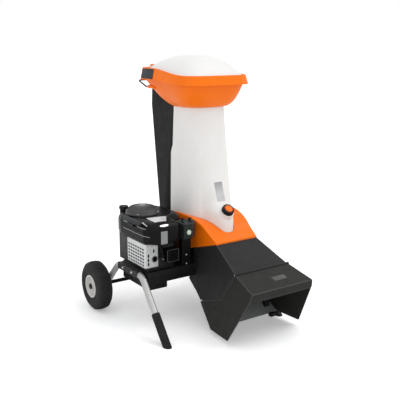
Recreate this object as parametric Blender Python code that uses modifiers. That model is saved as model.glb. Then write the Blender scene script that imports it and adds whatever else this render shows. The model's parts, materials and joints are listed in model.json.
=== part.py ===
# Garden shredder with a vertical shaft petrol engine, a tilting feed tower and a folding outlet flap.
# Metres, +Z up. The outlet faces -Y, the wheels are at +Y, and the floor is z = 0.
# The model is laid out about the feed tower (x = 0 is the tower's middle plane). The root empty then
# moves everything so that the origin is at the middle of the footprint, on the floor.

import math

import bmesh
import bpy
from mathutils import Matrix, Vector

# Chassis and wheels
WHEEL_RADIUS = 0.130
WHEEL_WIDTH = 0.080
RIM_RADIUS = 0.0567
AXLE_RADIUS = 0.010
AXLE_Y = 0.369
TUBE_RADIUS = 0.016
TUBE_WALL = 0.002
TUBE_RUN_Z = 0.280
TUBE_BEND = 0.060
FOOT_Y = -0.250
FOOT_RADIUS = 0.0205
FOOT_TOP_Z = 0.130
FRAME_TOP_Z = 0.300

# Cutting unit
CUTTER_Y = 0.140
CHAMBER_RADIUS = 0.115
CHAMBER_TOP_Z = 0.440
KNIFE_RADIUS = 0.100
ROTOR_RADIUS = 0.0125
CRANK_Y = 0.115
CRANK_RADIUS = 0.0125
BELT_Z = 0.262
ROTOR_PULLEY_RADIUS = 0.055
CRANK_PULLEY_RADIUS = 0.035

# Outlet chute: its sides are planes that flare to the front and to the bottom
CHUTE_WALL = 0.0035
CHUTE_HALF = 0.1966
CHUTE_HALF_PER_Y = -0.0742
CHUTE_HALF_PER_Z = -0.1984

# Places across the machine follow from the chute's half width: the engine to its left, then the tubes
CRANK_X = -(CHUTE_HALF + 0.1484)
TUBE_LEFT_X = CRANK_X - 0.1090
TUBE_RIGHT_X = CHUTE_HALF + 0.0294
WHEEL_LEFT_X = TUBE_LEFT_X - 0.0580
WHEEL_RIGHT_X = TUBE_RIGHT_X + 0.0580

# The seam under the base cover, the fold and the lip, down the middle of the chute
SEAM_Y = -0.182
SEAM_Z = 0.424
SEAM_SLOPE = -0.32
FOLD_Y = -0.383
FOLD_Z = 0.334
LIP_Y = -0.539
LIP_Z = 0.290

# Tower, hopper and lid
TOWER_WALL = 0.004
TOWER_BOTTOM_Z = 0.445
TOWER_TOP_Z = 1.070
TILT_Y = 0.300
TILT_Z = 0.460
HOPPER_Y = 0.2075
HOPPER_HALF_X = 0.200
HOPPER_HALF_Y = 0.2575
RIM_FRONT_Z = TOWER_TOP_Z + 0.161
RIM_RISE = 0.031
LID_TOP_Z = RIM_FRONT_Z + 0.095
LID_HINGE_Y = HOPPER_Y + HOPPER_HALF_Y - 0.025
LID_HINGE_Z = RIM_FRONT_Z + RIM_RISE + 0.006

# Fit between faces that touch
GAP = 0.0003

for old in list(bpy.data.objects):
    bpy.data.objects.remove(old, do_unlink=True)

PARTS = bpy.data.collections.new("garden_shredder")
CUTTERS = bpy.data.collections.new("cutters")
bpy.context.scene.collection.children.link(PARTS)
bpy.context.scene.collection.children.link(CUTTERS)


def empty(name, point, parent):
    node = bpy.data.objects.new(name, None)
    node.empty_display_size = 0.05
    node.location = point
    node.parent = parent
    PARTS.objects.link(node)
    return node


CHASSIS_X = (WHEEL_LEFT_X + WHEEL_RIGHT_X) / 2
LIP_ROUNDING = 0.00097
FOOTPRINT_Y = (LIP_Y + LIP_ROUNDING + AXLE_Y + WHEEL_RADIUS) / 2
ROOT = empty("root", (-CHASSIS_X, -FOOTPRINT_Y, 0.0), None)
AXES = {ROOT: Vector((0.0, 0.0, 0.0))}


def joint(name, point, parent=None):
    base = parent or ROOT
    node = empty(name, Vector(point) - AXES[base], base)
    AXES[node] = Vector(point)
    return node


def material(name, colour, roughness, metallic=0.0):
    made = bpy.data.materials.new(name)
    made.use_nodes = True
    shader = made.node_tree.nodes["Principled BSDF"]
    shader.inputs["Base Color"].default_value = (*colour, 1.0)
    shader.inputs["Roughness"].default_value = roughness
    shader.inputs["Metallic"].default_value = metallic
    return made


WHITE = material("white_plastic", (0.80, 0.80, 0.79), 0.35)
ORANGE = material("orange_plastic", (0.90, 0.16, 0.01), 0.38)
DARK = material("dark_plastic", (0.035, 0.035, 0.037), 0.50)
SPINE_GREY = material("spine_plastic", (0.030, 0.031, 0.034), 0.45)
GRIP_GREY = material("grip_plastic", (0.055, 0.055, 0.058), 0.60)
BLACK_STEEL = material("black_steel", (0.014, 0.014, 0.015), 0.42, 0.4)
SILVER = material("silver_tube", (0.62, 0.63, 0.64), 0.30, 0.85)
BRIGHT = material("bright_steel", (0.70, 0.70, 0.70), 0.28, 1.0)
RUBBER = material("rubber", (0.018, 0.018, 0.019), 0.80)
RIM_GREY = material("rim_grey", (0.50, 0.49, 0.47), 0.40, 0.2)
ENGINE_BLACK = material("engine_black", (0.016, 0.016, 0.018), 0.35)
ENGINE_CASE = material("engine_alloy", (0.10, 0.10, 0.11), 0.50, 0.6)
CONTROL_GREY = material("control_grey", (0.11, 0.13, 0.16), 0.45)
GREEN = material("button_green", (0.05, 0.35, 0.12), 0.40)


def add(name, mesh, look, parent=None, smooth=True):
    thing = bpy.data.objects.new(name, mesh)
    PARTS.objects.link(thing)
    base = parent or ROOT
    thing.parent = base
    thing.matrix_parent_inverse = Matrix.Translation(-AXES[base])
    if look:
        mesh.materials.append(look)
    if smooth and mesh.polygons:
        mesh.shade_smooth()
        mesh.set_sharp_from_angle(angle=math.radians(32))
    return thing


def finish(name, bm, look, parent=None, smooth=True):
    bmesh.ops.recalc_face_normals(bm, faces=bm.faces[:])
    mesh = bpy.data.meshes.new(name)
    bm.to_mesh(mesh)
    bm.free()
    return add(name, mesh, look, parent, smooth)


def aim(direction):
    return Vector(direction).to_track_quat("Z", "Y").to_matrix().to_4x4()


def bevel(thing, width, segments=2, angle=40):
    step = thing.modifiers.new("round", "BEVEL")
    step.width = width
    step.segments = segments
    step.limit_method = "ANGLE"
    step.angle_limit = math.radians(angle)
    return thing


def box(name, low, high, look=None, parent=None, rounding=0.0, segments=2):
    low = Vector(low)
    high = Vector(high)
    bm = bmesh.new()
    bmesh.ops.create_cube(bm, size=1.0)
    bmesh.ops.scale(bm, vec=high - low, verts=bm.verts[:])
    bmesh.ops.translate(bm, vec=(low + high) / 2, verts=bm.verts[:])
    thing = finish(name, bm, look, parent)
    if rounding:
        bevel(thing, rounding, segments)
    return thing


def rod(name, start, end, radius, look=None, parent=None, sides=24, end_radius=None):
    start = Vector(start)
    end = Vector(end)
    second = radius if end_radius is None else end_radius
    bm = bmesh.new()
    bmesh.ops.create_cone(bm, cap_ends=True, segments=sides, radius1=radius, radius2=second,
                          depth=(end - start).length)
    bmesh.ops.transform(bm, matrix=Matrix.Translation((start + end) / 2) @ aim(end - start),
                        verts=bm.verts[:])
    return finish(name, bm, look, parent)


def turned(name, profile, centre, direction, look=None, parent=None, steps=32, ring=False):
    # The profile runs down its outer side: (radius, height) pairs, top to bottom.
    count = len(profile)
    edges = [(i, i + 1) for i in range(count - 1)]
    if ring:
        edges.append((count - 1, 0))
    mesh = bpy.data.meshes.new(name)
    mesh.from_pydata([(r, 0.0, z) for r, z in profile], edges, [])
    thing = add(name, mesh, look, parent)
    thing.matrix_basis = Matrix.Translation(centre) @ aim(direction)
    step = thing.modifiers.new("turn", "SCREW")
    step.steps = steps
    step.render_steps = steps
    step.use_merge_vertices = True
    step.merge_threshold = 0.00001
    step.use_smooth_shade = True
    return thing


def to_mesh(thing):
    # A curve made a mesh, with its caps welded, so that it can be cut or joined.
    bpy.context.view_layer.update()
    graph = bpy.context.evaluated_depsgraph_get()
    mesh = bpy.data.meshes.new_from_object(thing.evaluated_get(graph))
    bm = bmesh.new()
    bm.from_mesh(mesh)
    bmesh.ops.remove_doubles(bm, verts=bm.verts[:], dist=0.00001)
    bmesh.ops.recalc_face_normals(bm, faces=bm.faces[:])
    bm.to_mesh(mesh)
    bm.free()
    made = bpy.data.objects.new("made", mesh)
    PARTS.objects.link(made)
    made.parent = thing.parent
    made.matrix_parent_inverse = thing.matrix_parent_inverse.copy()
    name = thing.name
    bpy.data.objects.remove(thing, do_unlink=True)
    made.name = name
    mesh.name = name
    mesh.shade_smooth()
    mesh.set_sharp_from_angle(angle=math.radians(32))
    return made


def bent(points, bend, pieces=4):
    # A path through the points, with an arc of the bend radius at each inner one.
    points = [Vector(p) for p in points]
    path = [points[0]]
    for before, corner, after in zip(points, points[1:], points[2:]):
        inward = (before - corner).normalized()
        outward = (after - corner).normalized()
        half = inward.angle(outward) / 2
        reach = bend / math.tan(half)
        centre = corner + (inward + outward).normalized() * (bend / math.sin(half))
        first = corner + inward * reach - centre
        last = corner + outward * reach - centre
        sweep = first.angle(last)
        for i in range(pieces + 1):
            t = i / pieces
            path.append(centre + (first * math.sin((1 - t) * sweep) + last * math.sin(t * sweep))
                        / math.sin(sweep))
    path.append(points[-1])
    return path


def tube(name, path, radius, look=None, parent=None, resolution=4, flat_sides=False):
    curve = bpy.data.curves.new(name, "CURVE")
    curve.dimensions = "3D"
    curve.bevel_depth = radius
    curve.bevel_resolution = resolution
    curve.use_fill_caps = True
    line = curve.splines.new("POLY")
    line.points.add(len(path) - 1)
    for point, place in zip(line.points, path):
        point.co = (*place, 1.0)
    thing = bpy.data.objects.new(name, curve)
    PARTS.objects.link(thing)
    base = parent or ROOT
    thing.parent = base
    thing.matrix_parent_inverse = Matrix.Translation(-AXES[base])
    if look:
        curve.materials.append(look)
    return to_mesh(thing)


PLANES = {
    "YZ": Matrix(((0, 0, 1, 0), (1, 0, 0, 0), (0, 1, 0, 0), (0, 0, 0, 1))),
    "XY": Matrix.Identity(4),
    "XZ": Matrix(((1, 0, 0, 0), (0, 0, -1, 0), (0, 1, 0, 0), (0, 0, 0, 1))),
}


def slab(name, outlines, low, high, plane, look=None, parent=None):
    # A flat outline, with holes as further outlines, made thick from low to high across its plane.
    curve = bpy.data.curves.new(name, "CURVE")
    curve.dimensions = "2D"
    curve.fill_mode = "BOTH"
    curve.extrude = (high - low) / 2
    for outline in outlines:
        line = curve.splines.new("POLY")
        line.points.add(len(outline) - 1)
        line.use_cyclic_u = True
        for point, (a, b) in zip(line.points, outline):
            point.co = (a, b, 0.0, 1.0)
    thing = bpy.data.objects.new(name, curve)
    PARTS.objects.link(thing)
    base = parent or ROOT
    thing.parent = base
    thing.matrix_parent_inverse = Matrix.Translation(-AXES[base])
    if look:
        curve.materials.append(look)
    made = to_mesh(thing)
    middle = (low + high) / 2
    across = -middle if plane == "XZ" else middle
    made.data.transform(PLANES[plane] @ Matrix.Translation((0.0, 0.0, across)))
    return made


def loft(name, rings, look=None, parent=None, closed=False, peaks=(None, None)):
    # A skin over rings of equal counts, with its ends closed flat, or to a peak point, or joined up.
    bm = bmesh.new()
    made = [[bm.verts.new(p) for p in ring] for ring in rings]
    pairs = list(zip(made, made[1:]))
    if closed:
        pairs.append((made[-1], made[0]))
    count = len(rings[0])
    for one, two in pairs:
        for i in range(count):
            j = (i + 1) % count
            bm.faces.new((one[i], one[j], two[j], two[i]))
    if not closed:
        for ring, peak in zip((made[0], made[-1]), peaks):
            if peak is None:
                bm.faces.new(ring)
            else:
                top = bm.verts.new(peak)
                for i in range(count):
                    bm.faces.new((ring[i], ring[(i + 1) % count], top))
    return finish(name, bm, look, parent)


def operate(thing, other, kind):
    step = thing.modifiers.new(kind.lower(), "BOOLEAN")
    step.operation = kind
    step.object = other
    other.hide_render = True
    other.display_type = "WIRE"
    PARTS.objects.unlink(other)
    CUTTERS.objects.link(other)
    return thing


def cut(thing, *others):
    for other in others:
        operate(thing, other, "DIFFERENCE")
    return thing


def fuse(thing, *others):
    for other in others:
        operate(thing, other, "UNION")
    return thing


def circle(y, z, radius, sides=24):
    return [(y + radius * math.cos(2 * math.pi * i / sides), z + radius * math.sin(2 * math.pi * i / sides))
            for i in range(sides)]


def inset(outline, distances):
    # Each edge moved in by its own distance, or out where that is below zero. Edge i runs from point i.
    count = len(outline)
    area = sum(outline[i][0] * outline[(i + 1) % count][1] - outline[(i + 1) % count][0] * outline[i][1]
               for i in range(count))
    turn = 1.0 if area > 0 else -1.0
    lines = []
    for i, distance in enumerate(distances):
        start = Vector(outline[i])
        way = (Vector(outline[(i + 1) % count]) - start).normalized()
        lines.append((start + Vector((-way.y, way.x)) * distance * turn, way))
    points = []
    for i in range(count):
        p, d = lines[i - 1]
        q, e = lines[i]
        across = d.x * e.y - d.y * e.x
        t = ((q.x - p.x) * e.y - (q.y - p.y) * e.x) / across
        points.append((p.x + d.x * t, p.y + d.y * t))
    return points


def smooth(low, high, value):
    t = min(1.0, max(0.0, (value - low) / (high - low)))
    return t * t * (3 - 2 * t)


def between(table, value):
    # Straight interpolation in rows of (position, value).
    if value <= table[0][0]:
        return table[0][1]
    for (a, u), (b, v) in zip(table, table[1:]):
        if value <= b:
            return u + (v - u) * (value - a) / (b - a)
    return table[-1][1]


# Wheels: pneumatic tyre, dished steel rim on the axle, and a push-on cap over the axle's end
AXLE_Z = WHEEL_RADIUS
HALF = WHEEL_WIDTH / 2
HUB_HALF = 0.034
HUB_RADIUS = 0.018
TYRE = [
    (RIM_RADIUS + 0.0003, 0.0360), (0.0625, 0.0362), (0.080, 0.0390), (0.100, HALF), (0.118, 0.0345),
    (0.1275, 0.019), (WHEEL_RADIUS, 0.0),
]
TYRE = TYRE + [(r, -z) for r, z in reversed(TYRE[:-1])]
RIM = [
    (HUB_RADIUS, HUB_HALF), (0.0205, 0.018), (0.0300, 0.0140), (0.0470, 0.0170), (0.0535, 0.0385),
    (0.0605, 0.0385), (0.0610, 0.0366), (RIM_RADIUS, 0.0364),
    (RIM_RADIUS, -0.0364), (0.0610, -0.0366), (0.0605, -0.0385), (0.0535, -0.0385),
    (0.0460, 0.0125), (0.0300, 0.0105), (HUB_RADIUS, 0.0080), (HUB_RADIUS, -HUB_HALF),
    (AXLE_RADIUS + 0.0005, -HUB_HALF), (AXLE_RADIUS + 0.0005, HUB_HALF),
]
CAP = [
    (0.0, 0.0425), (0.009, 0.0419), (0.014, 0.0400), (0.0165, 0.0370), (0.0165, HUB_HALF + GAP),
    (0.0125, HUB_HALF + GAP), (0.0125, 0.0375), (0.0, 0.0392),
]

for side, x, out in (("left", WHEEL_LEFT_X, -1.0), ("right", WHEEL_RIGHT_X, 1.0)):
    wheel = joint("axis_wheel_" + side, (x, AXLE_Y, AXLE_Z))
    centre = (x, AXLE_Y, AXLE_Z)
    turned("tyre_" + side, TYRE, centre, (out, 0, 0), RUBBER, wheel, 24, ring=True)
    turned("rim_" + side, RIM, centre, (out, 0, 0), RIM_GREY, wheel, 24, ring=True)
    turned("hub_cap_" + side, CAP, centre, (out, 0, 0), DARK, wheel, 16)

AXLE_END = HUB_HALF + 0.0030
rod("wheel_axle", (WHEEL_LEFT_X - AXLE_END, AXLE_Y, AXLE_Z), (WHEEL_RIGHT_X + AXLE_END, AXLE_Y, AXLE_Z),
    AXLE_RADIUS, BRIGHT, sides=20)

# Chassis tubes, each with a rubber sleeve on its foot and a channel that holds the belt housing
REAR_CORNER = Vector((0.0, 0.222, TUBE_RUN_Z))
FRONT_CORNER = Vector((0.0, -0.023, TUBE_RUN_Z))
AXLE_POINT = Vector((0.0, AXLE_Y, AXLE_Z))
FOOT_POINT = Vector((0.0, FOOT_Y, 0.0))
REAR_WAY = (AXLE_POINT - REAR_CORNER).normalized()
FOOT_WAY = (FOOT_POINT - FRONT_CORNER).normalized()
REAR_END = AXLE_POINT + REAR_WAY * 0.022
TUBE_END = FOOT_POINT - FOOT_WAY * 0.0257
SLEEVE_TOP = FOOT_POINT - FOOT_WAY * (FOOT_TOP_Z / -FOOT_WAY.z)
CHANNEL_WALL = 0.003
CHANNEL_HALF = TUBE_RADIUS + GAP + CHANNEL_WALL

for side, x, out in (("left", TUBE_LEFT_X, -1.0), ("right", TUBE_RIGHT_X, 1.0)):
    across = Vector((x, 0.0, 0.0))
    path = [p + across for p in bent((REAR_END, REAR_CORNER, FRONT_CORNER, TUBE_END), TUBE_BEND)]
    longer = [path[0] + REAR_WAY * 0.01] + path[1:-1] + [path[-1] + FOOT_WAY * 0.01]
    pipe = tube("chassis_tube_" + side, path, TUBE_RADIUS, SILVER)
    cut(pipe, tube("bore_tube_" + side, longer, TUBE_RADIUS - TUBE_WALL))
    cut(pipe, rod("bore_axle_" + side, (x - 0.03, AXLE_Y, AXLE_Z), (x + 0.03, AXLE_Y, AXLE_Z),
                  AXLE_RADIUS + GAP, sides=20))
    sleeve = rod("foot_sleeve_" + side, SLEEVE_TOP + across, FOOT_POINT + FOOT_WAY * 0.03 + across,
                 FOOT_RADIUS, RUBBER)
    cut(sleeve, box("floor_" + side, (x - 0.1, FOOT_Y - 0.1, -0.1), (x + 0.1, FOOT_Y + 0.1, 0.0)))
    cut(sleeve, rod("bore_sleeve_" + side, SLEEVE_TOP - FOOT_WAY * 0.02 + across,
                    TUBE_END + FOOT_WAY * GAP + across, TUBE_RADIUS + GAP, sides=24))
    inner = TUBE_RUN_Z + TUBE_RADIUS + GAP
    channel = box("tube_bracket_" + side, (x - CHANNEL_HALF, 0.0, 0.268),
                  (x + CHANNEL_HALF, 0.195, FRAME_TOP_Z), BLACK_STEEL)
    cut(channel, box("channel_" + side, (x - TUBE_RADIUS - GAP, -0.01, 0.2),
                     (x + TUBE_RADIUS + GAP, 0.30, inner)))

# Belt housing: open below, the engine stands on its wide end and the cutting unit on its long one
SHEET = 0.003
HOUSING_LEFT_X = TUBE_LEFT_X + CHANNEL_HALF + GAP
HOUSING_RIGHT_X = TUBE_RIGHT_X - CHANNEL_HALF - GAP
ENGINE_BOX_X = CRANK_X + 0.187
TUNNEL_FRONT_Y = 0.0203
TUNNEL_REAR_Y = 0.330
ENGINE_BOX_Y = (-0.050, 0.210)
housing = box("belt_housing", (HOUSING_LEFT_X, ENGINE_BOX_Y[0], 0.211),
              (CRANK_X + 0.016, ENGINE_BOX_Y[1], FRAME_TOP_Z), BLACK_STEEL)
fuse(housing, box("housing_middle", (CRANK_X + 0.0155, ENGINE_BOX_Y[0], 0.240), (ENGINE_BOX_X, ENGINE_BOX_Y[1], FRAME_TOP_Z)))
fuse(housing, box("housing_tunnel", (ENGINE_BOX_X - 0.042, TUNNEL_FRONT_Y, 0.240), (HOUSING_RIGHT_X, TUNNEL_REAR_Y, FRAME_TOP_Z)))
cut(housing, box("inside_engine", (HOUSING_LEFT_X + SHEET, ENGINE_BOX_Y[0] + SHEET, 0.1),
                 (ENGINE_BOX_X - SHEET, ENGINE_BOX_Y[1] - SHEET, FRAME_TOP_Z - SHEET)))
cut(housing, box("inside_tunnel", (ENGINE_BOX_X - 0.052, TUNNEL_FRONT_Y + SHEET, 0.1),
                 (HOUSING_RIGHT_X - SHEET, TUNNEL_REAR_Y - SHEET, FRAME_TOP_Z - SHEET)))
cut(housing, rod("hole_crank", (CRANK_X, CRANK_Y, 0.25), (CRANK_X, CRANK_Y, 0.35), 0.022))
cut(housing, rod("hole_rotor", (0, CUTTER_Y, 0.25), (0, CUTTER_Y, 0.35), 0.030))

# Outlet chute: a fixed housing on the cutting unit, and a flap that folds up about the ridge


def chute_half(y, z):
    return CHUTE_HALF + CHUTE_HALF_PER_Y * y + CHUTE_HALF_PER_Z * z


def seam_z(y):
    return SEAM_Z + SEAM_SLOPE * (y - SEAM_Y)


def flared(name, outline, extra, look=None, parent=None):
    # The outline across the chute, out to its flaring side planes.
    thing = slab(name, [outline], -1.0, 1.0, "YZ", look, parent)
    for point in thing.data.vertices:
        point.co.x = math.copysign(chute_half(point.co.y, point.co.z) + extra, point.co.x)
    return thing


SIDE_WALL = CHUTE_WALL * 1.0223
FLAP_OUT = 0.0006
FOLD = (FOLD_Y, FOLD_Z)
FOLD_MIDDLE = (-0.306, 0.200)
FOLD_END = (-0.122, 0.128)
CHUTE_REAR_Y = TUNNEL_FRONT_Y - GAP
GROOVE = 0.002
PIN_RADIUS = 0.0025
KNUCKLE = 0.0056

fixed = [
    (SEAM_Y, SEAM_Z), FOLD, FOLD_MIDDLE, FOLD_END, (-0.067, 0.160), (0.0, 0.190),
    (CHUTE_REAR_Y, 0.200), (CHUTE_REAR_Y, seam_z(CHUTE_REAR_Y)),
]
chute = flared("chute_housing", inset(fixed, (0, GROOVE, GROOVE, 0, 0, 0, 0, 0)), 0.0, DARK)
bevel(chute, 0.004)
fuse(chute, flared("housing_knuckle", circle(*FOLD, KNUCKLE, 20), -0.00002))
inner = inset(fixed, (CHUTE_WALL, -0.05, -0.05) + (CHUTE_WALL,) * 5)
cut(chute, flared("inside_chute", inner, -SIDE_WALL))
cut(chute, rod("bore_fold", (-0.25, *FOLD), (0.25, *FOLD), PIN_RADIUS + GAP, sides=16))
cut(chute, box("chute_window", (-0.080, -0.01, 0.304), (0.080, 0.03, 0.345)))

flap_axis = joint("axis_flap", (0.0, *FOLD))
folding = [
    FOLD, (LIP_Y, LIP_Z), (-0.530, 0.254), (-0.410, 0.029), (-0.2555, 0.0295), FOLD_END, FOLD_MIDDLE,
]
flap = flared("chute_flap", inset(folding, (0, 0, 0, 0, 0, GROOVE, GROOVE)), FLAP_OUT + SIDE_WALL, DARK, flap_axis)
bevel(flap, 0.004)
fuse(flap, flared("flap_knuckle", circle(*FOLD, KNUCKLE, 20), FLAP_OUT + SIDE_WALL + 0.002, parent=flap_axis))
inner = inset(folding, (CHUTE_WALL, CHUTE_WALL, -0.05, -0.05, CHUTE_WALL, -0.05, -0.05))
cut(flap, flared("inside_flap", inner, FLAP_OUT, parent=flap_axis))
lean = math.hypot(CHUTE_HALF_PER_Y, CHUTE_HALF_PER_Z)
KNUCKLE_X = chute_half(*FOLD) + KNUCKLE * lean + 0.0005
cut(flap, rod("inside_knuckle", (-KNUCKLE_X, *FOLD), (KNUCKLE_X, *FOLD), KNUCKLE + 0.0006, parent=flap_axis, sides=32))
cut(flap, rod("bore_flap", (-0.25, *FOLD), (0.25, *FOLD), PIN_RADIUS + GAP, parent=flap_axis, sides=16))
PIN_HALF = chute_half(*FOLD) + FLAP_OUT + SIDE_WALL + 0.004
rod("flap_hinge_pin", (-PIN_HALF, *FOLD), (PIN_HALF, *FOLD), PIN_RADIUS, BLACK_STEEL, flap_axis, 16)

# Base cover: (y, half width at the crease, crease height), front to rear
COVER_WALL = 0.0035
COVER = [
    (-0.184, CHUTE_HALF - 0.0706, 0.431), (-0.134, CHUTE_HALF - 0.0656, 0.461), (-0.080, CHUTE_HALF - 0.0586, 0.498), (-0.030, CHUTE_HALF - 0.0516, 0.518),
    (0.030, CHUTE_HALF - 0.0456, 0.530), (0.110, CHUTE_HALF - 0.0416, 0.533), (0.200, CHUTE_HALF - 0.0416, 0.520), (0.270, CHUTE_HALF - 0.0466, 0.495),
]
COVER_HALF = [(y, half) for y, half, z in COVER]
COVER_CREASE = [(y, z) for y, half, z in COVER]
COVER_FOOT = [(-0.184, 0.0), (0.0, 0.0), (0.030, 0.006), (0.110, 0.035), (0.200, 0.049), (0.270, 0.051)]


def cover_ring(y, thin, lower):
    half = between(COVER_HALF, y) - thin
    crease = between(COVER_CREASE, y) - thin
    foot_z = max(seam_z(y) + 0.0005, FRAME_TOP_Z + 0.003)
    foot = chute_half(y, foot_z) + between(COVER_FOOT, y) - thin
    dip = 0.013 * smooth(-0.184, -0.120, y)
    turn = 0.006
    lean = (half - foot) / (crease - foot_z)
    side = [(foot - lean * lower, foot_z - lower), ((foot + half) / 2, (foot_z + crease) / 2)]
    side.append((half, crease - turn))
    side.append((half - 0.0018, crease - 0.0016))
    side.append((half - turn, crease))
    for part in (0.85, 0.65, 0.40, 0.15):
        side.append((half * part, crease - dip * (1 - part * part)))
    right = [(x, y, z) for x, z in side]
    left = [(-x, y, z) for x, z in reversed(side)]
    return right + left


def cover_form(name, stations, thin, lower, look=None):
    return loft(name, [cover_ring(y, thin, lower) for y in stations], look)


def finer(stations, pieces):
    return [a + (b - a) * i / pieces for a, b in zip(stations, stations[1:]) for i in range(pieces)] + [stations[-1]]


stations = finer([y for y, half, z in COVER], 2)
cover = cover_form("base_cover", stations, 0.0, 0.0, ORANGE)
cut(cover, cover_form("inside_cover", [-0.1775] + stations[1:] + [0.30], COVER_WALL, 0.06))

# Tower: (height, y) tables of its front, plain and down the middle of the toe, and of its rear edge
TOWER_HALF = [(0.530, CHUTE_HALF - 0.0496), (TOWER_TOP_Z, CHUTE_HALF - 0.0756)]
TOWER_MIDDLE = [(0.530, 0.140), (TOWER_TOP_Z, 0.155)]
TOWER_FRONT = [(TOWER_BOTTOM_Z, -0.034), (0.800, 0.005), (0.930, 0.022), (TOWER_TOP_Z, 0.034)]
TOWER_TOE = [
    (0.500, -0.120), (0.545, -0.110), (0.570, -0.085), (0.600, -0.055), (0.650, -0.035), (0.720, -0.012),
    (0.800, 0.005), (0.930, 0.022), (TOWER_TOP_Z, 0.034),
]
TOWER_REAR = [(TOWER_BOTTOM_Z, 0.212), (0.500, 0.2125), (0.830, 0.235), (0.870, 0.210), (TOWER_TOP_Z, 0.210)]
TOE_HALF = 0.092
POWER = 2.0 / 2.5


def tower_line(z, thin, rear_gap=0.0):
    # The tower's outer line at a height, from the rear left edge round the front to the rear right.
    half = between(TOWER_HALF, z) - thin
    middle = between(TOWER_MIDDLE, z)
    front = between(TOWER_FRONT, z)
    toe = front - between(TOWER_TOE, z)
    depth = middle - front - thin
    rear = between(TOWER_REAR, z) - rear_gap
    toe_half = min(TOE_HALF - 0.9 * thin, 0.62 * half)
    sides = []
    for part in (1.0, 0.6, 0.3):
        y = middle + (rear - middle) * part
        sides.append((half * (1 - abs((y - middle) / 0.18) ** 2.5) ** 0.4, y))
    across = [half * math.cos(math.radians(t)) ** POWER for t in (0, 12, 24, 36, 46, 55)]
    across += [toe_half * share for share in (1.0, 0.75, 0.5, 0.25)]
    line = [(-x, y) for x, y in sides]
    for x in [-x for x in across] + [0.0] + across[::-1]:
        y = middle - depth * max(0.0, 1 - (abs(x) / half) ** 2.5) ** 0.4
        bump = 0.5 + 0.5 * math.cos(math.pi * min(1.0, abs(x) / toe_half) ** 1.5)
        line.append((x, y - toe * bump))
    line += [(x, y) for x, y in reversed(sides)]
    return line


def tower_ring(z):
    outer = tower_line(z, 0.0, 0.0004)
    inner = tower_line(z, TOWER_WALL, 0.0004)
    return [(x, y, z) for x, y in outer] + [(x, y, z) for x, y in reversed(inner)]


def tower_form(name, levels, grow):
    rings = []
    for z in levels:
        line = tower_line(z, -grow)
        rings.append([(x, y, z) for x, y in line] + [(line[-1][0], 0.40, z), (line[0][0], 0.40, z)])
    return loft(name, rings)


cut(cover, tower_form("room_for_tower", (0.430, 0.500, 0.530, 0.545, 0.570, 0.620), 0.0035))

tilt = joint("axis_tower", (0.0, TILT_Y, TILT_Z))
levels = (TOWER_BOTTOM_Z, 0.500, 0.522, 0.545, 0.570, 0.600, 0.625, 0.650, 0.685, 0.720, 0.770,
          0.830, 0.870, 0.950, TOWER_TOP_Z)
shell = loft("tower_shell", [tower_ring(z) for z in levels], WHITE, tilt)

# Locking knob on a flat boss, through the toe
KNOB_WAY = Vector((0.0, -math.cos(math.radians(53)), math.sin(math.radians(53))))
KNOB_SEAT = Vector((0.0, -0.095, 0.552)) + KNOB_WAY * 0.008
KNOB_RADIUS = 0.032
SHANK_RADIUS = 0.006
fuse(shell, rod("knob_boss", KNOB_SEAT - KNOB_WAY * 0.024, KNOB_SEAT, 0.0365, parent=tilt, sides=32))
cut(shell, rod("knob_recess", KNOB_SEAT, KNOB_SEAT + KNOB_WAY * 0.04, 0.0340, parent=tilt, sides=32))
cut(shell, rod("knob_bore", KNOB_SEAT - KNOB_WAY * 0.06, KNOB_SEAT + KNOB_WAY * 0.01,
               SHANK_RADIUS + GAP, parent=tilt, sides=16))
knob_axis = joint("axis_knob", KNOB_SEAT, tilt)
knob = turned("locking_knob", [
    (0.0, 0.0215), (0.0215, 0.0215), (0.0215, 0.0230), (0.0285, 0.0230), (0.0310, 0.0200),
    (KNOB_RADIUS, 0.0040), (0.0300, GAP), (SHANK_RADIUS, GAP), (SHANK_RADIUS, -0.045), (0.0, -0.045),
], KNOB_SEAT, KNOB_WAY, DARK, knob_axis, 24)
turned("knob_cap", [
    (0.0, 0.0270), (0.013, 0.0263), (0.0195, 0.0240), (0.0210, 0.0218), (0.0, 0.0218),
], KNOB_SEAT, KNOB_WAY, ORANGE, knob_axis, 24)

# Spine behind the tower: a channel, open to the front, that carries the hopper and the tilt hinge
SPINE_HALF_TOP = CHUTE_HALF - 0.0786
SPINE_FLARE = 0.04074
SPINE_WALL = 0.003
SPINE_FOOT_Z = 0.442


def spine_half(z):
    return SPINE_HALF_TOP + (TOWER_TOP_Z - z) * SPINE_FLARE


def spined(name, outline, extra, look=None):
    thing = slab(name, [outline], -1.0, 1.0, "YZ", look, tilt)
    for point in thing.data.vertices:
        point.co.x = math.copysign(spine_half(point.co.z) + extra, point.co.x)
    return thing


SPINE_REAR_Y = 0.4340
side_of_spine = [
    (0.2100, TOWER_TOP_Z + 0.130), (0.2100, 0.870), (0.2350, 0.830), (0.2125, 0.500), (0.2120, 0.452), (0.270, 0.452),
    (0.284, SPINE_FOOT_Z), (0.316, SPINE_FOOT_Z), (0.3230, 0.4560), (0.3262, 0.514), (SPINE_REAR_Y, TOWER_TOP_Z - 0.004),
    (SPINE_REAR_Y, TOWER_TOP_Z + 0.130),
]
spine = spined("tower_spine", side_of_spine, 0.0, SPINE_GREY)

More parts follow.
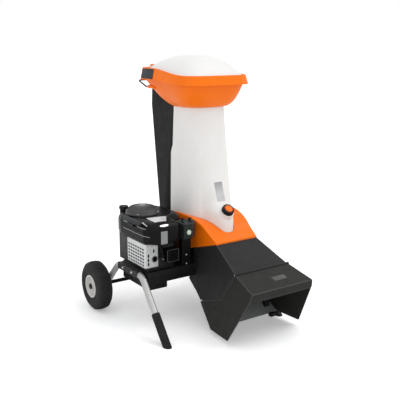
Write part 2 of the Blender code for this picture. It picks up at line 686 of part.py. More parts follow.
hollow = [
    (0.150, TOWER_TOP_Z + 0.180), (0.150, 0.400), (0.400, 0.400), (0.400, 0.506), (0.3246 - SPINE_WALL, 0.506),
    (SPINE_REAR_Y - SPINE_WALL, TOWER_TOP_Z - 0.004), (SPINE_REAR_Y - SPINE_WALL, TOWER_TOP_Z + 0.180),
]
cut(spine, spined("inside_spine", hollow, -SPINE_WALL))
cut(spine, rod("bore_tilt", (-0.2, TILT_Y, TILT_Z), (0.2, TILT_Y, TILT_Z), 0.0053, parent=tilt, sides=16))
HINGE_PIN_HALF = spine_half(TILT_Z) + 0.0046
rod("tower_hinge_pin", (-HINGE_PIN_HALF, TILT_Y, TILT_Z), (HINGE_PIN_HALF, TILT_Y, TILT_Z), 0.005, BRIGHT, tilt, 16)

BRACKET_HALF = spine_half(TILT_Z) - 0.0149
hinge = box("tower_hinge_bracket", (-BRACKET_HALF, 0.282, FRAME_TOP_Z + GAP), (BRACKET_HALF, 0.318, TILT_Z + 0.015), BLACK_STEEL)
cut(hinge, box("bracket_inside", (0.012 - BRACKET_HALF, 0.286, 0.29), (BRACKET_HALF - 0.012, 0.40, 0.50)))
cut(hinge, box("bracket_top", (0.012 - BRACKET_HALF, 0.20, TILT_Z - 0.035), (BRACKET_HALF - 0.012, 0.40, 0.50)))
cut(hinge, rod("bore_bracket", (-0.2, TILT_Y, TILT_Z), (0.2, TILT_Y, TILT_Z), 0.0053, sides=16))

# Hopper: a throat on the tower, a bowl and a folded rim, all in one moulding
TURNS = 40
THROAT_DEPTH = 0.117
BOWL_WALL = 0.0032


def rounded(t, half_x, half_y, power):
    x = half_x * math.copysign(abs(math.cos(t)) ** (2 / power), math.cos(t))
    y = half_y * math.copysign(abs(math.sin(t)) ** (2 / power), math.sin(t))
    return x, y


def rim_top(y):
    return RIM_FRONT_Z + RIM_RISE * smooth(0.0, 0.30, y)


def rim_low(y):
    return rim_top(y) - 0.047 - 0.015 * smooth(0.0, 0.30, y)


def bowl_point(t, part, thin):
    # part runs from the throat (0) to the rim (1).
    half = between(TOWER_HALF, TOWER_TOP_Z)
    x0, y0 = rounded(t, half - thin, THROAT_DEPTH - thin, 2.5)
    x1, y1 = rounded(t, HOPPER_HALF_X - 0.008 - thin, HOPPER_HALF_Y - 0.0085 - thin, 4.5)
    y0 += between(TOWER_MIDDLE, TOWER_TOP_Z)
    y1 += HOPPER_Y
    x = x0 + (x1 - x0) * part
    y = y0 + (y1 - y0) * part
    low = TOWER_TOP_Z + GAP
    z = low + (rim_low(y1) + 0.005 - low) * part ** 1.5
    return x, y, z + (thin * 0.8 if part > 0 else 0.0)


def rim_point(t, out, share):
    # share runs from the rim's lower edge (0) to its top edge (1).
    x, y = rounded(t, HOPPER_HALF_X + out, HOPPER_HALF_Y + out, 4.5)
    y += HOPPER_Y
    return x, y, rim_low(y) + (rim_top(y) - rim_low(y)) * share


def hopper_section(t):
    outer = [bowl_point(t, part, 0.0) for part in (0.0, 0.3, 0.6, 0.85, 1.0)]
    skirt = [
        rim_point(t, -0.0035, 0.86), rim_point(t, -0.0015, 0.86), rim_point(t, 0.0085, 0.02),
        rim_point(t, 0.0120, 0.0), rim_point(t, 0.0120, 0.07), rim_point(t, 0.0065, 0.55),
        rim_point(t, 0.0020, 0.93), rim_point(t, -0.0010, 1.0), rim_point(t, -0.0045, 1.0),
        rim_point(t, -0.0070, 0.80),
    ]
    inner = [bowl_point(t, part, BOWL_WALL) for part in (1.0, 0.85, 0.6, 0.3, 0.0)]
    return outer + skirt + inner


angles = [2 * math.pi * (i + 0.5) / TURNS for i in range(TURNS)]
hopper = loft("hopper", [hopper_section(t) for t in angles], ORANGE, tilt, closed=True)

# The bowl's own underside, let down 1 mm, trims the spine's top
under = [[(x, y, z - 0.001) for x, y, z in (bowl_point(t, part, -0.001) for t in angles)]
         for part in (0.0, 0.3, 0.6, 0.85, 1.0)]
under.append([(x, y, RIM_FRONT_Z + 0.069) for x, y, z in under[-1]])
cut(spine, loft("room_for_hopper", under, parent=tilt))

# Grip inserts on the rim's rear corners
for side, first in (("left", math.pi), ("right", 0.0)):
    rings = []
    for i in range(9):
        t = first + (-1.0 if side == "left" else 1.0) * (0.03 + 0.055 * i)
        rings.append([
            rim_point(t, 0.0122, 0.12), rim_point(t, 0.0145, 0.12), rim_point(t, 0.0090, 0.55),
            rim_point(t, 0.0042, 0.92), rim_point(t, 0.0026, 0.92), rim_point(t, 0.0069, 0.55),
        ])
    loft("grip_insert_" + side, rings, GRIP_GREY, tilt)

# Wire tow handle, plugged into two sockets under the bowl
HANDLE_RADIUS = 0.004
HOPPER_REAR_Y = HOPPER_Y + HOPPER_HALF_Y
HANDLE_Z = RIM_FRONT_Z - 0.068
START = Vector((0.028 - HOPPER_HALF_X, HOPPER_REAR_Y - 0.115, HANDLE_Z))
BEND = Vector((0.028 - HOPPER_HALF_X, HOPPER_REAR_Y - 0.065, HANDLE_Z))
REAR = Vector((0.032 - HOPPER_HALF_X, HOPPER_REAR_Y + 0.023, HANDLE_Z + 0.029))
mirrored = [Vector((-p.x, p.y, p.z)) for p in (REAR, BEND, START)]
route = bent([START, BEND, REAR] + mirrored, 0.020, 4)
tube("tow_handle", route, HANDLE_RADIUS, BLACK_STEEL, tilt, 2)
for x in (START.x, -START.x):
    fuse(hopper, rod("socket", (x, START.y - 0.050, HANDLE_Z), (x, START.y + 0.022, HANDLE_Z), 0.009, parent=tilt, sides=16))
for x in (START.x, -START.x):
    cut(hopper, rod("socket_bore", (x, START.y - GAP, HANDLE_Z), (x, START.y + 0.070, HANDLE_Z), HANDLE_RADIUS + GAP,
                    parent=tilt, sides=16))

# Lid: a domed shell inside the rim, hinged at the rear
lid_axis = joint("axis_lid", (0.0, LID_HINGE_Y, LID_HINGE_Z), tilt)
LID_Y = HOPPER_Y - 0.015
LID_WALL = 0.003
LID_TURNS = 36


def lid_ring(share, thin):
    points = []
    for i in range(LID_TURNS):
        t = 2 * math.pi * (i + 0.5) / LID_TURNS
        x, y = rounded(t, HOPPER_HALF_X - 0.0105 - thin, HOPPER_HALF_Y - 0.0285 - thin, 2.3 + 2.2 * share ** 2)
        y += LID_Y
        edge = rim_top(y) - 0.008
        peak = LID_TOP_Z - thin
        here = LID_Y + (y - LID_Y) * share
        points.append((x * share, here, edge + (peak - edge) * (1 - share ** 2.4)))
    return points


shares = (0.30, 0.55, 0.75, 0.90, 0.97, 1.0)
rings = [lid_ring(share, 0.0) for share in shares] + [lid_ring(share, LID_WALL) for share in reversed(shares)]
rings[len(shares) - 1] = [(x, y, rim_top(y) - 0.008) for x, y, z in rings[len(shares) - 1]]
peaks = ((0.0, LID_Y, LID_TOP_Z), (0.0, LID_Y, LID_TOP_Z - LID_WALL))
lid = loft("lid", rings, WHITE, lid_axis, peaks=peaks)
for x in (-0.080, 0.080):
    fuse(lid, box("lid_tab", (x - 0.010, LID_HINGE_Y - 0.035, LID_HINGE_Z - 0.0105),
                  (x + 0.010, LID_HINGE_Y + 0.007, LID_HINGE_Z + 0.008), parent=lid_axis))
    fuse(hopper, box("lid_lug", (x * 1.26 - 0.008, LID_HINGE_Y - 0.010, RIM_FRONT_Z - 0.006),
                     (x * 1.26 + 0.008, LID_HINGE_Y + 0.022, LID_HINGE_Z + 0.008), parent=tilt))
LID_PIN = 0.003
cut(lid, rod("lid_bore", (-0.12, LID_HINGE_Y, LID_HINGE_Z), (0.12, LID_HINGE_Y, LID_HINGE_Z), LID_PIN + GAP,
             parent=lid_axis, sides=12))
cut(hopper, rod("lug_bore", (-0.12, LID_HINGE_Y, LID_HINGE_Z), (0.12, LID_HINGE_Y, LID_HINGE_Z), LID_PIN + GAP,
                parent=tilt, sides=12))
rod("lid_hinge_pin", (-0.111, LID_HINGE_Y, LID_HINGE_Z), (0.111, LID_HINGE_Y, LID_HINGE_Z), LID_PIN, BRIGHT,
    lid_axis, 12)

# Cutting unit: a chamber on the belt housing, its rotor and knives, and the bearings that carry them
BEARING_RADIUS = 0.0265
chamber = rod("cutter_housing", (0, CUTTER_Y, FRAME_TOP_Z + GAP), (0, CUTTER_Y, CHAMBER_TOP_Z - 0.006),
              CHAMBER_RADIUS, BLACK_STEEL, sides=32)
fuse(chamber, rod("chamber_flange", (0, CUTTER_Y, CHAMBER_TOP_Z - 0.010), (0, CUTTER_Y, CHAMBER_TOP_Z), 0.1195,
                  sides=32))
fuse(chamber, box("chamber_spout", (-0.085, TUNNEL_FRONT_Y, FRAME_TOP_Z + GAP), (0.085, 0.080, 0.352)))
cut(chamber, rod("chamber_inside", (0, CUTTER_Y, FRAME_TOP_Z + 0.0043), (0, CUTTER_Y, 0.60), CHAMBER_RADIUS - 0.005,
                 sides=32))
cut(chamber, box("spout_inside", (-0.080, -0.05, FRAME_TOP_Z + 0.0045), (0.080, 0.100, 0.347)))
cut(chamber, rod("chamber_hole", (0, CUTTER_Y, 0.25), (0, CUTTER_Y, 0.36), BEARING_RADIUS + GAP, sides=28))
counter = box("counter_knife", (0.074, 0.1275, 0.3660), (0.1085, 0.1525, 0.3720), BRIGHT)
cut(counter, rod("counter_trim", (0, CUTTER_Y, 0.30), (0, CUTTER_Y, 0.45), CHAMBER_RADIUS - 0.0350, sides=40))
lower = rod("rotor_bearing_lower", (0, CUTTER_Y, FRAME_TOP_Z - 0.012), (0, CUTTER_Y, FRAME_TOP_Z + 0.012),
            BEARING_RADIUS, BRIGHT, sides=28)
cut(lower, rod("bearing_bore", (0, CUTTER_Y, 0.2), (0, CUTTER_Y, 0.5), ROTOR_RADIUS + GAP, sides=20))
rotor = joint("axis_rotor", (0, CUTTER_Y, 0.0))
rod("rotor_shaft", (0, CUTTER_Y, 0.2445), (0, CUTTER_Y, 0.372), ROTOR_RADIUS, BRIGHT, rotor, 20)


def pulley(name, x, y, z, radius, bore, parent):
    half = 0.009
    turned(name, [
        (radius, half), (radius, half - 0.0015), (radius - 0.008, 0.0025), (radius - 0.008, -0.0025),
        (radius, 0.0015 - half), (radius, -half), (bore, -half), (bore, half),
    ], (x, y, z), (0, 0, 1), BRIGHT, parent, 22, ring=True)


pulley("driven_pulley", 0, CUTTER_Y, BELT_Z, ROTOR_PULLEY_RADIUS, ROTOR_RADIUS + GAP, rotor)
disc = rod("knife_disc", (0, CUTTER_Y, 0.340), (0, CUTTER_Y, 0.350), 0.085, BLACK_STEEL, rotor, 36)
cut(disc, rod("disc_bore", (0, CUTTER_Y, 0.3), (0, CUTTER_Y, 0.4), ROTOR_RADIUS + GAP, parent=rotor, sides=20))
KNIFE_Z = (0.350 + GAP, 0.356)
box("knife_a", (0.020, CUTTER_Y + 0.006, KNIFE_Z[0]), (KNIFE_RADIUS, CUTTER_Y + 0.038, KNIFE_Z[1]), BRIGHT, rotor)
box("knife_b", (-KNIFE_RADIUS, CUTTER_Y - 0.038, KNIFE_Z[0]), (-0.020, CUTTER_Y - 0.006, KNIFE_Z[1]), BRIGHT, rotor)

# Engine: crankcase, pressed shroud, recoil starter, slotted guard over the muffler
CASE_LOW_Z = FRAME_TOP_Z + GAP


def from_crank(points):
    # The engine's outlines are written as distances from its crankshaft along x.
    return [(CRANK_X + x, y) for x, y in points]


SHROUD_LOW_Z = 0.447
SHROUD = from_crank([
    (-0.1030, -0.030), (-0.0870, -0.075), (-0.0510, -0.100), (0.0500, -0.100), (0.0730, -0.082),
    (0.0730, -0.004), (0.1400, 0.030), (0.1730, 0.075), (0.1750, 0.215), (0.1550, 0.270),
    (0.1100, 0.300), (0.0150, 0.306), (-0.0550, 0.290), (-0.0910, 0.250), (-0.1050, 0.200),
])


def shrink(outline, distance):
    return inset(outline, (distance,) * len(outline))


engine_levels = [
    (SHROUD_LOW_Z, 0.004), (SHROUD_LOW_Z + 0.014, 0.0), (0.505, 0.0), (0.528, 0.006), (0.546, 0.022), (0.552, 0.040),
]
CASE_FRONT_Y = -0.030
CASE = from_crank([
    (-0.0800, CASE_FRONT_Y), (0.0670, CASE_FRONT_Y), (0.0730, -0.006), (0.1450, 0.030), (0.1630, 0.075),
    (0.1650, 0.235), (0.1400, 0.262), (-0.0800, 0.262),
])
engine = slab("engine_block", [CASE], CASE_LOW_Z, SHROUD_LOW_Z - GAP, "XY", ENGINE_CASE)
cut(engine, box("muffler_room", (CRANK_X - 0.1150, -0.100, 0.3235), (CRANK_X - 0.0270, 0.140, 0.50)))
CASE_HOLLOW = from_crank([
    (-0.0130, -0.016), (0.0610, -0.016), (0.0670, 0.006), (0.1330, 0.040), (0.1490, 0.080),
    (0.1510, 0.230), (0.1350, 0.248), (-0.0660, 0.248), (-0.0660, 0.155), (-0.0130, 0.155),
])
cut(engine, slab("crankcase_hollow", [CASE_HOLLOW], 0.290, 0.372, "XY"))
cut(engine, rod("crank_bore", (CRANK_X, CRANK_Y, 0.25), (CRANK_X, CRANK_Y, 0.390), CRANK_RADIUS + GAP, sides=20))
rings = [[(x, y, z) for x, y in shrink(SHROUD, thin)] for z, thin in engine_levels]
shroud = loft("engine_shroud", rings, ENGINE_BLACK)
rings = [[(x, y, z) for x, y in shrink(SHROUD, thin + 0.003)] for z, thin in (
    (SHROUD_LOW_Z - 0.01, 0.004), (SHROUD_LOW_Z + 0.014, 0.0), (0.505, 0.0), (0.5255, 0.006), (0.543, 0.022))]
cut(shroud, loft("shroud_inside", rings))

# Recoil starter: a low ribbed dome on the shroud, with its grip lying along the shroud's left edge
DOME_X = CRANK_X - 0.0070
DOME_Y = 0.145
DOME_RADIUS = 0.088
turned("starter_cover", [
    (0.0, 0.0400), (0.036, 0.0383), (0.062, 0.0310), (0.080, 0.0160), (0.085, GAP),
    (0.081, GAP), (0.076, 0.0150), (0.059, 0.0280), (0.035, 0.0345), (0.0, 0.0360),
], (DOME_X, DOME_Y, 0.552), (0, 0, 1), ENGINE_BLACK, steps=28)
starter = joint("axis_starter", (CRANK_X - 0.1160, 0.060, 0.545))
grip = box("starter_grip", (CRANK_X - 0.1270, -0.020, 0.535), (CRANK_X - 0.1050, 0.140, 0.557), ENGINE_BLACK, starter, 0.006)
bearer = box("bracket_grip", (CRANK_X - 0.1250, 0.030, 0.520), (CRANK_X - 0.0950, 0.090, 0.5347), ENGINE_BLACK)
fuse(shroud, bearer)

# Muffler and its slotted guard on the engine's outer side
GUARD_X = CRANK_X - 0.1050
GUARD_Y = (-0.050, 0.130)
GUARD_Z = 0.3240
MUFFLER_TOP_Z = SHROUD_LOW_Z - 0.012
muffler = box("muffler", (CRANK_X - 0.0910, -0.036, 0.332), (CRANK_X - 0.0273, 0.118, MUFFLER_TOP_Z), BLACK_STEEL, rounding=0.006)
GUARD_TOP_Z = SHROUD_LOW_Z - 0.0025
guard = box("muffler_guard", (GUARD_X, GUARD_Y[0], GUARD_Z), (CRANK_X - 0.0310, GUARD_Y[1], GUARD_TOP_Z), BRIGHT)
cut(guard, box("guard_inside", (GUARD_X + 0.0022, GUARD_Y[0] + 0.0022, 0.30), (CRANK_X + 0.0450, GUARD_Y[1] - 0.0022, 0.50)))
for row in range(int((GUARD_TOP_Z - GUARD_Z - 0.018) / 0.016)):
    for column in range(7):
        y = GUARD_Y[0] + 0.014 + column * 0.0232
        z = GUARD_Z + 0.010 + row * 0.0160
        cut(guard, box("slot", (GUARD_X - 0.01, y, z), (GUARD_X + 0.01, y + 0.0150, z + 0.0070)))
cut(guard, rod("outlet", (GUARD_X + 0.053, GUARD_Y[0] - 0.01, 0.366), (GUARD_X + 0.053, GUARD_Y[0] + 0.02, 0.366), 0.0110, sides=16))

# Air filter cover, plug, caps
box("air_filter_cover", (CRANK_X + 0.0040, -0.075, 0.343), (CRANK_X + 0.0720, CASE_FRONT_Y - GAP, 0.408), ENGINE_BLACK,
          rounding=0.004)
PLUG_X = CRANK_X - 0.0115
rod("spark_plug", (PLUG_X, CASE_FRONT_Y - GAP, 0.362), (PLUG_X, -0.064, 0.362), 0.009, BLACK_STEEL, sides=16)
OIL = (CRANK_X + 0.0450, CASE_FRONT_Y - GAP, 0.3190)
FUEL = (CRANK_X - 0.0570, 0.250, 0.5563)
fuse(shroud, rod("filler_neck", (FUEL[0], FUEL[1], 0.535), (FUEL[0], FUEL[1], 0.556), 0.020, sides=24))
fuel_axis = joint("axis_fuel_cap", FUEL)
oil_axis = joint("axis_oil_cap", OIL)
turned("fuel_cap", [
    (0.0, 0.018), (0.020, 0.018), (0.0235, 0.0150), (0.0235, 0.0), (0.0, 0.0),
], FUEL, (0, 0, 1), ENGINE_BLACK, fuel_axis, 24)
turned("oil_cap", [
    (0.0, 0.014), (0.010, 0.014), (0.0125, 0.0115), (0.0125, 0.0), (0.0, 0.0),
], OIL, (0, -1, 0), BLACK_STEEL, oil_axis, 20)

# Crankshaft, its pulley, and the belt round both pulleys
crank = joint("axis_crank", (CRANK_X, CRANK_Y, 0.0))
rod("crankshaft", (CRANK_X, CRANK_Y, 0.2445), (CRANK_X, CRANK_Y, 0.389), CRANK_RADIUS, BRIGHT, crank, 20)
pulley("drive_pulley", CRANK_X, CRANK_Y, BELT_Z, CRANK_PULLEY_RADIUS, CRANK_RADIUS + GAP, crank)


def belt_line(extra):
    # The outline round both pulleys, at a distance from each pulley's groove.
    big = ROTOR_PULLEY_RADIUS - 0.008 + extra
    small = CRANK_PULLEY_RADIUS - 0.008 + extra
    reach = Vector((CRANK_X, CRANK_Y - CUTTER_Y))
    way = math.atan2(reach.y, reach.x)
    lean = math.acos((big - small) / reach.length)
    points = []
    for i in range(15):
        t = way + lean + (2 * math.pi - 2 * lean) * i / 14
        points.append((big * math.cos(t), CUTTER_Y + big * math.sin(t)))
    for i in range(9):
        t = way - lean + 2 * lean * i / 8
        points.append((CRANK_X + small * math.cos(t), CRANK_Y + small * math.sin(t)))
    return points


slab("drive_belt", [belt_line(0.0075), belt_line(0.0009)], BELT_Z - 0.0022, BELT_Z + 0.0022, "XY", RUBBER)

# Controls: a post on the belt housing with a box, a stop button and two levers
POST = (CRANK_X + 0.1080, CRANK_X + 0.1600, -0.046, -0.016)
BOX_LOW_Z = 0.451
BOX_TOP_Z = 0.529
post = box("control_post", (POST[0], POST[2], CASE_LOW_Z), (POST[1], POST[3], BOX_LOW_Z - GAP), BLACK_STEEL)
plan = from_crank([(0.0870, -0.010), (0.0870, -0.100), (0.1310, -0.100), (0.1760, -0.062), (0.1760, -0.010)])
panel = slab("control_box", [plan], BOX_LOW_Z, BOX_TOP_Z, "XY", CONTROL_GREY)
bevel(panel, 0.004)
BUTTON = (CRANK_X + 0.1115, -0.1000, 0.4870)
BUTTON_RADIUS = 0.0115
cut(panel, rod("button_bore", BUTTON, (BUTTON[0], BUTTON[1] + 0.016, BUTTON[2]), BUTTON_RADIUS + 0.0005, sides=24))
button_axis = joint("axis_stop_button", BUTTON)
turned("stop_button", [
    (0.0, 0.0080), (0.0090, 0.0078), (BUTTON_RADIUS, 0.0055), (BUTTON_RADIUS, -0.0060), (0.0, -0.0060),
], BUTTON, (0, -1, 0), GREEN, button_axis, 24)
for name, x, tall in (("choke_lever", CRANK_X + 0.1045, 0.022), ("throttle_lever", CRANK_X + 0.1480, 0.018)):
    pivot = (x, -0.055, BOX_TOP_Z - 0.012)
    axis = joint("axis_" + name, pivot)
    cut(panel, box(name + "_slot", (x - 0.0045, -0.080, BOX_TOP_Z - 0.030), (x + 0.0045, -0.030, BOX_TOP_Z + 0.01)))
    lever = rod(name, (x - 0.0040, pivot[1], pivot[2]), (x + 0.0040, pivot[1], pivot[2]), 0.0080, DARK, axis, 16)
    fuse(lever, box(name + "_arm", (x - 0.0035, pivot[1] - 0.004, pivot[2]), (x + 0.0035, pivot[1] + 0.004, BOX_TOP_Z + tall),
                    parent=axis))
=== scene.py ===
# %% [markdown]
# A garden shredder, dressed over its CAD parts.
# The real machine is a feed tower with a hopper, an outlet chute, a small petrol engine on a sheet
# metal housing, and two bent tubes on wheels. The CAD parts give every size. This script adds the
# finer shapes and the finishes, and the light and camera of a plain studio.

import json
import math
import time

import bmesh
import bpy
from mathutils import Matrix, Vector


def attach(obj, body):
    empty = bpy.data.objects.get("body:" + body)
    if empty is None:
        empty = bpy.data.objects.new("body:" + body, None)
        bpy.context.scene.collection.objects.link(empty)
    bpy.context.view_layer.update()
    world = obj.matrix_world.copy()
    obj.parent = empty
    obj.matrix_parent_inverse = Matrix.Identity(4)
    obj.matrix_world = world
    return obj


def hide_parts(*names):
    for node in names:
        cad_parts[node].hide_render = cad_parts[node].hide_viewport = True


started = time.time()
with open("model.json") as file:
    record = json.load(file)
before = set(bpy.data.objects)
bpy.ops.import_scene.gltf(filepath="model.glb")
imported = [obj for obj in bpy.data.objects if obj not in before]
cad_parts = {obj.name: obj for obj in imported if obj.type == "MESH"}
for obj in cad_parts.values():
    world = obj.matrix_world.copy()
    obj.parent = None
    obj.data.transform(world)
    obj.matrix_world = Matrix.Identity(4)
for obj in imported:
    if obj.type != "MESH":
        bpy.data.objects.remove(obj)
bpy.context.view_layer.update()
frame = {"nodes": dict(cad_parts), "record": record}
scene = bpy.context.scene
for old in ("Cube", "Light", "Camera"):
    if old in bpy.data.objects:
        bpy.data.objects.remove(bpy.data.objects[old], do_unlink=True)

# %% [markdown]
# All shapes below are drawn about the feed tower, where x = 0 is its middle plane, because the machine
# is nearly symmetrical there. The CAD origin is the middle of the footprint, so each new mesh is moved
# by one fixed step when it is made. Its object stays at the origin.

# %% Make a solid from points and faces
TO_ORIGIN = Vector((0.114, 0.019515, 0.0))
BODY_OF = {name: body for body, names in frame["record"]["behaviour"]["bodies"].items() for name in names}
LEFT, FRONT, UP = Vector((-1, 0, 0)), Vector((0, -1, 0)), Vector((0, 0, 1))
SIDES = (-1.0, 1.0)
MERGE = 0.000005
SHARP = 32


def mm(*pairs):
    # A section written in millimetres.
    return [(a / 1000, b / 1000) for a, b in pairs]


def sharp_edges(mesh, angle):
    mesh.shade_smooth()
    mesh.set_sharp_from_angle(angle=math.radians(angle))


def linked(name, mesh):
    thing = bpy.data.objects.new(name, mesh)
    scene.collection.objects.link(thing)
    return thing


def mesh_of(name, bm):
    mesh = bpy.data.meshes.new(name)
    bm.to_mesh(mesh)
    bm.free()
    return mesh


def solid(name, bm, angle=SHARP):
    bmesh.ops.remove_doubles(bm, verts=bm.verts[:], dist=MERGE)
    bmesh.ops.recalc_face_normals(bm, faces=bm.faces[:])
    mesh = mesh_of(name, bm)
    mesh.transform(Matrix.Translation(TO_ORIGIN))
    sharp_edges(mesh, angle)
    return linked(name, mesh)


def aim(centre, way):
    # The place of a shape whose own z runs along a line.
    return Matrix.Translation(centre) @ Vector(way).to_track_quat("Z", "Y").to_matrix().to_4x4()


def bridge(bm, rings, joined=False, peaks=(None, None)):
    # Faces over rings of equal counts, with flat or pointed ends, or joined into a loop.
    made = [[bm.verts.new(p) for p in ring] for ring in rings]
    count = len(rings[0])
    for one, two in list(zip(made, made[1:])) + ([(made[-1], made[0])] if joined else []):
        for i in range(count):
            j = (i + 1) % count
            bm.faces.new((one[i], one[j], two[j], two[i]))
    for ring, peak in () if joined else zip((made[0], made[-1]), peaks):
        if peak is None:
            bm.faces.new(ring)
        else:
            top = bm.verts.new(peak)
            for i in range(count):
                bm.faces.new((ring[i], ring[(i + 1) % count], top))


def skin(name, rings, joined=False, peaks=(None, None), angle=SHARP):
    bm = bmesh.new()
    bridge(bm, rings, joined, peaks)
    return solid(name, bm, angle)


def lathe(bm, profile, steps, place=Matrix(), ring=False):
    # Runs (radius, height) pairs round a line. Points on the line become poles.
    turns = [math.tau * i / steps for i in range(steps)]
    rows = [[bm.verts.new(place @ Vector((r * math.cos(t), r * math.sin(t), h)))
             for t in (turns if r else turns[:1])]
            for r, h in profile]
    for one, two in list(zip(rows, rows[1:])) + ([(rows[-1], rows[0])] if ring else []):
        for i in range(steps):
            j = (i + 1) % steps
            corners = (one[i % len(one)], one[j % len(one)], two[j % len(two)], two[i % len(two)])
            corners = list(dict.fromkeys(corners))
            if len(corners) > 2:
                bm.faces.new(corners)


def turned(name, profile, centre, way, steps=64, ring=False, angle=SHARP):
    bm = bmesh.new()
    lathe(bm, profile, steps, aim(centre, way), ring)
    return solid(name, bm, angle)


print("helpers for solids are ready")

# %% Round and cut solids
def live_step(thing, kind, **settings):
    step = thing.modifiers.new(kind.lower(), kind)
    for key, value in settings.items():
        setattr(step, key, value)
    return thing


def evaluated_mesh(thing):
    bpy.context.view_layer.update()
    return bpy.data.meshes.new_from_object(thing.evaluated_get(bpy.context.evaluated_depsgraph_get()))


def baked(thing, angle):
    # Turns the modifiers' result into the object's own plain mesh.
    old, mesh = thing.data, evaluated_mesh(thing)
    thing.modifiers.clear()
    thing.data = mesh
    bpy.data.meshes.remove(old)
    mesh.name = thing.name
    sharp_edges(mesh, angle)
    return thing


def rounded_edges(thing, width, segments=3, angle=35, **settings):
    live_step(thing, "BEVEL", width=width, segments=segments, limit_method="ANGLE",
              angle_limit=math.radians(angle), use_clamp_overlap=True, **settings)
    return baked(thing, 40)


def carve(thing, *cutters, kind="DIFFERENCE", angle=38):
    for cutter in cutters:
        live_step(thing, "BOOLEAN", operation=kind, object=cutter, solver="EXACT")
        baked(thing, angle)
        bpy.data.objects.remove(cutter, do_unlink=True)
    return thing


def fuse(thing, *pieces, angle=38):
    return carve(thing, *pieces, kind="UNION", angle=angle)


def block(name, low, high, rounding=0.0, segments=3):
    low, high = Vector(low), Vector(high)
    bm = bmesh.new()
    bmesh.ops.create_cube(bm, size=1.0)
    bmesh.ops.scale(bm, vec=high - low, verts=bm.verts[:])
    bmesh.ops.translate(bm, vec=(low + high) / 2, verts=bm.verts[:])
    thing = solid(name, bm)
    return rounded_edges(thing, rounding, segments) if rounding else thing


def rod(name, start, end, radius, steps=32, rounding=0.0):
    way = Vector(end) - Vector(start)
    long, r = way.length, rounding
    profile = [(0.0, long), (radius, long), (radius, 0.0), (0.0, 0.0)]
    if r:
        profile[1:3] = [(radius - r, long), (radius - r * 0.3, long - r * 0.3), (radius, long - r),
                        (radius, r), (radius - r * 0.3, r * 0.3), (radius - r, 0.0)]
    return turned(name, profile, start, way, steps)


def arc(before, corner, after, radius, pieces):
    # The points that round off one corner, on a plane or in space.
    back, ahead = (before - corner).normalized(), (after - corner).normalized()
    half = back.angle(ahead) / 2
    centre = corner + (back + ahead).normalized() * (radius / math.sin(half))
    one, two = (corner + way * (radius / math.tan(half)) - centre for way in (back, ahead))
    sweep = one.angle(two)
    return [centre + (one * math.sin((1 - t) * sweep) + two * math.sin(t * sweep)) / math.sin(sweep)
            for t in (k / pieces for k in range(pieces + 1))]


def bent(points, bend, pieces=10):
    # A path through the points, with an arc of the bend radius at each inner one.
    points = [Vector(p) for p in points]
    inner = [p for three in zip(points, points[1:], points[2:]) for p in arc(*three, bend, pieces)]
    return points[:1] + inner + points[-1:]


def cornered(outline, radii, pieces=6):
    # An outline with arcs for corners. A radius of nought leaves a corner sharp.
    spots, made = [Vector(p) for p in outline], []
    for i, radius in enumerate(radii):
        three = spots[i - 1], spots[i], spots[(i + 1) % len(spots)]
        made += arc(*three, radius, pieces) if radius else [spots[i]]
    return [tuple(p) for p in made]


def along(name, path, radius, sides=24):
    # A round bar along a path. The ring turns as little as it can from point to point.
    path = [Vector(p) for p in path]
    ways = [(after - before).normalized() for before, after in zip(path[:1] + path, path[1:] + path[-1:])]
    side = ways[0].orthogonal().normalized()
    turns = [math.tau * i / sides for i in range(sides)]
    rings = []
    for point, way in zip(path, ways):
        side = (side - way * side.dot(way)).normalized()
        up = way.cross(side)
        rings.append([point + (side * math.cos(t) + up * math.sin(t)) * radius for t in turns])
    return skin(name, rings)


print("helpers for rounding, cutting and bending are ready")

# %% [markdown]
# Finishes. Each is a Principled shader whose colour, roughness and relief come from noise and cell
# patterns on Object coordinates. A flat colour would look like a toy: real plastic has a fine eroded
# grain, steel has streaks and plated zinc has crystals. Colours are written as they are seen on a
# screen and changed to the linear values that the shader wants.

# %% Helpers for finishes
def tint(*colour):
    linear = [v / 255 / 12.92 if v / 255 <= 0.04045 else ((v / 255 + 0.055) / 1.055) ** 2.4 for v in colour]
    return (*linear, 1.0)


def wired(tree, kind, inputs=(), **settings):
    # One node of a tree. Each input is a value to keep or another node's output to link.
    node = tree.nodes.new(kind)
    for key, value in settings.items():
        setattr(node, key, value)
    for key, source in inputs:
        if isinstance(source, bpy.types.NodeSocket):
            tree.links.new(source, node.inputs[key])
        else:
            node.inputs[key].default_value = source
    return node


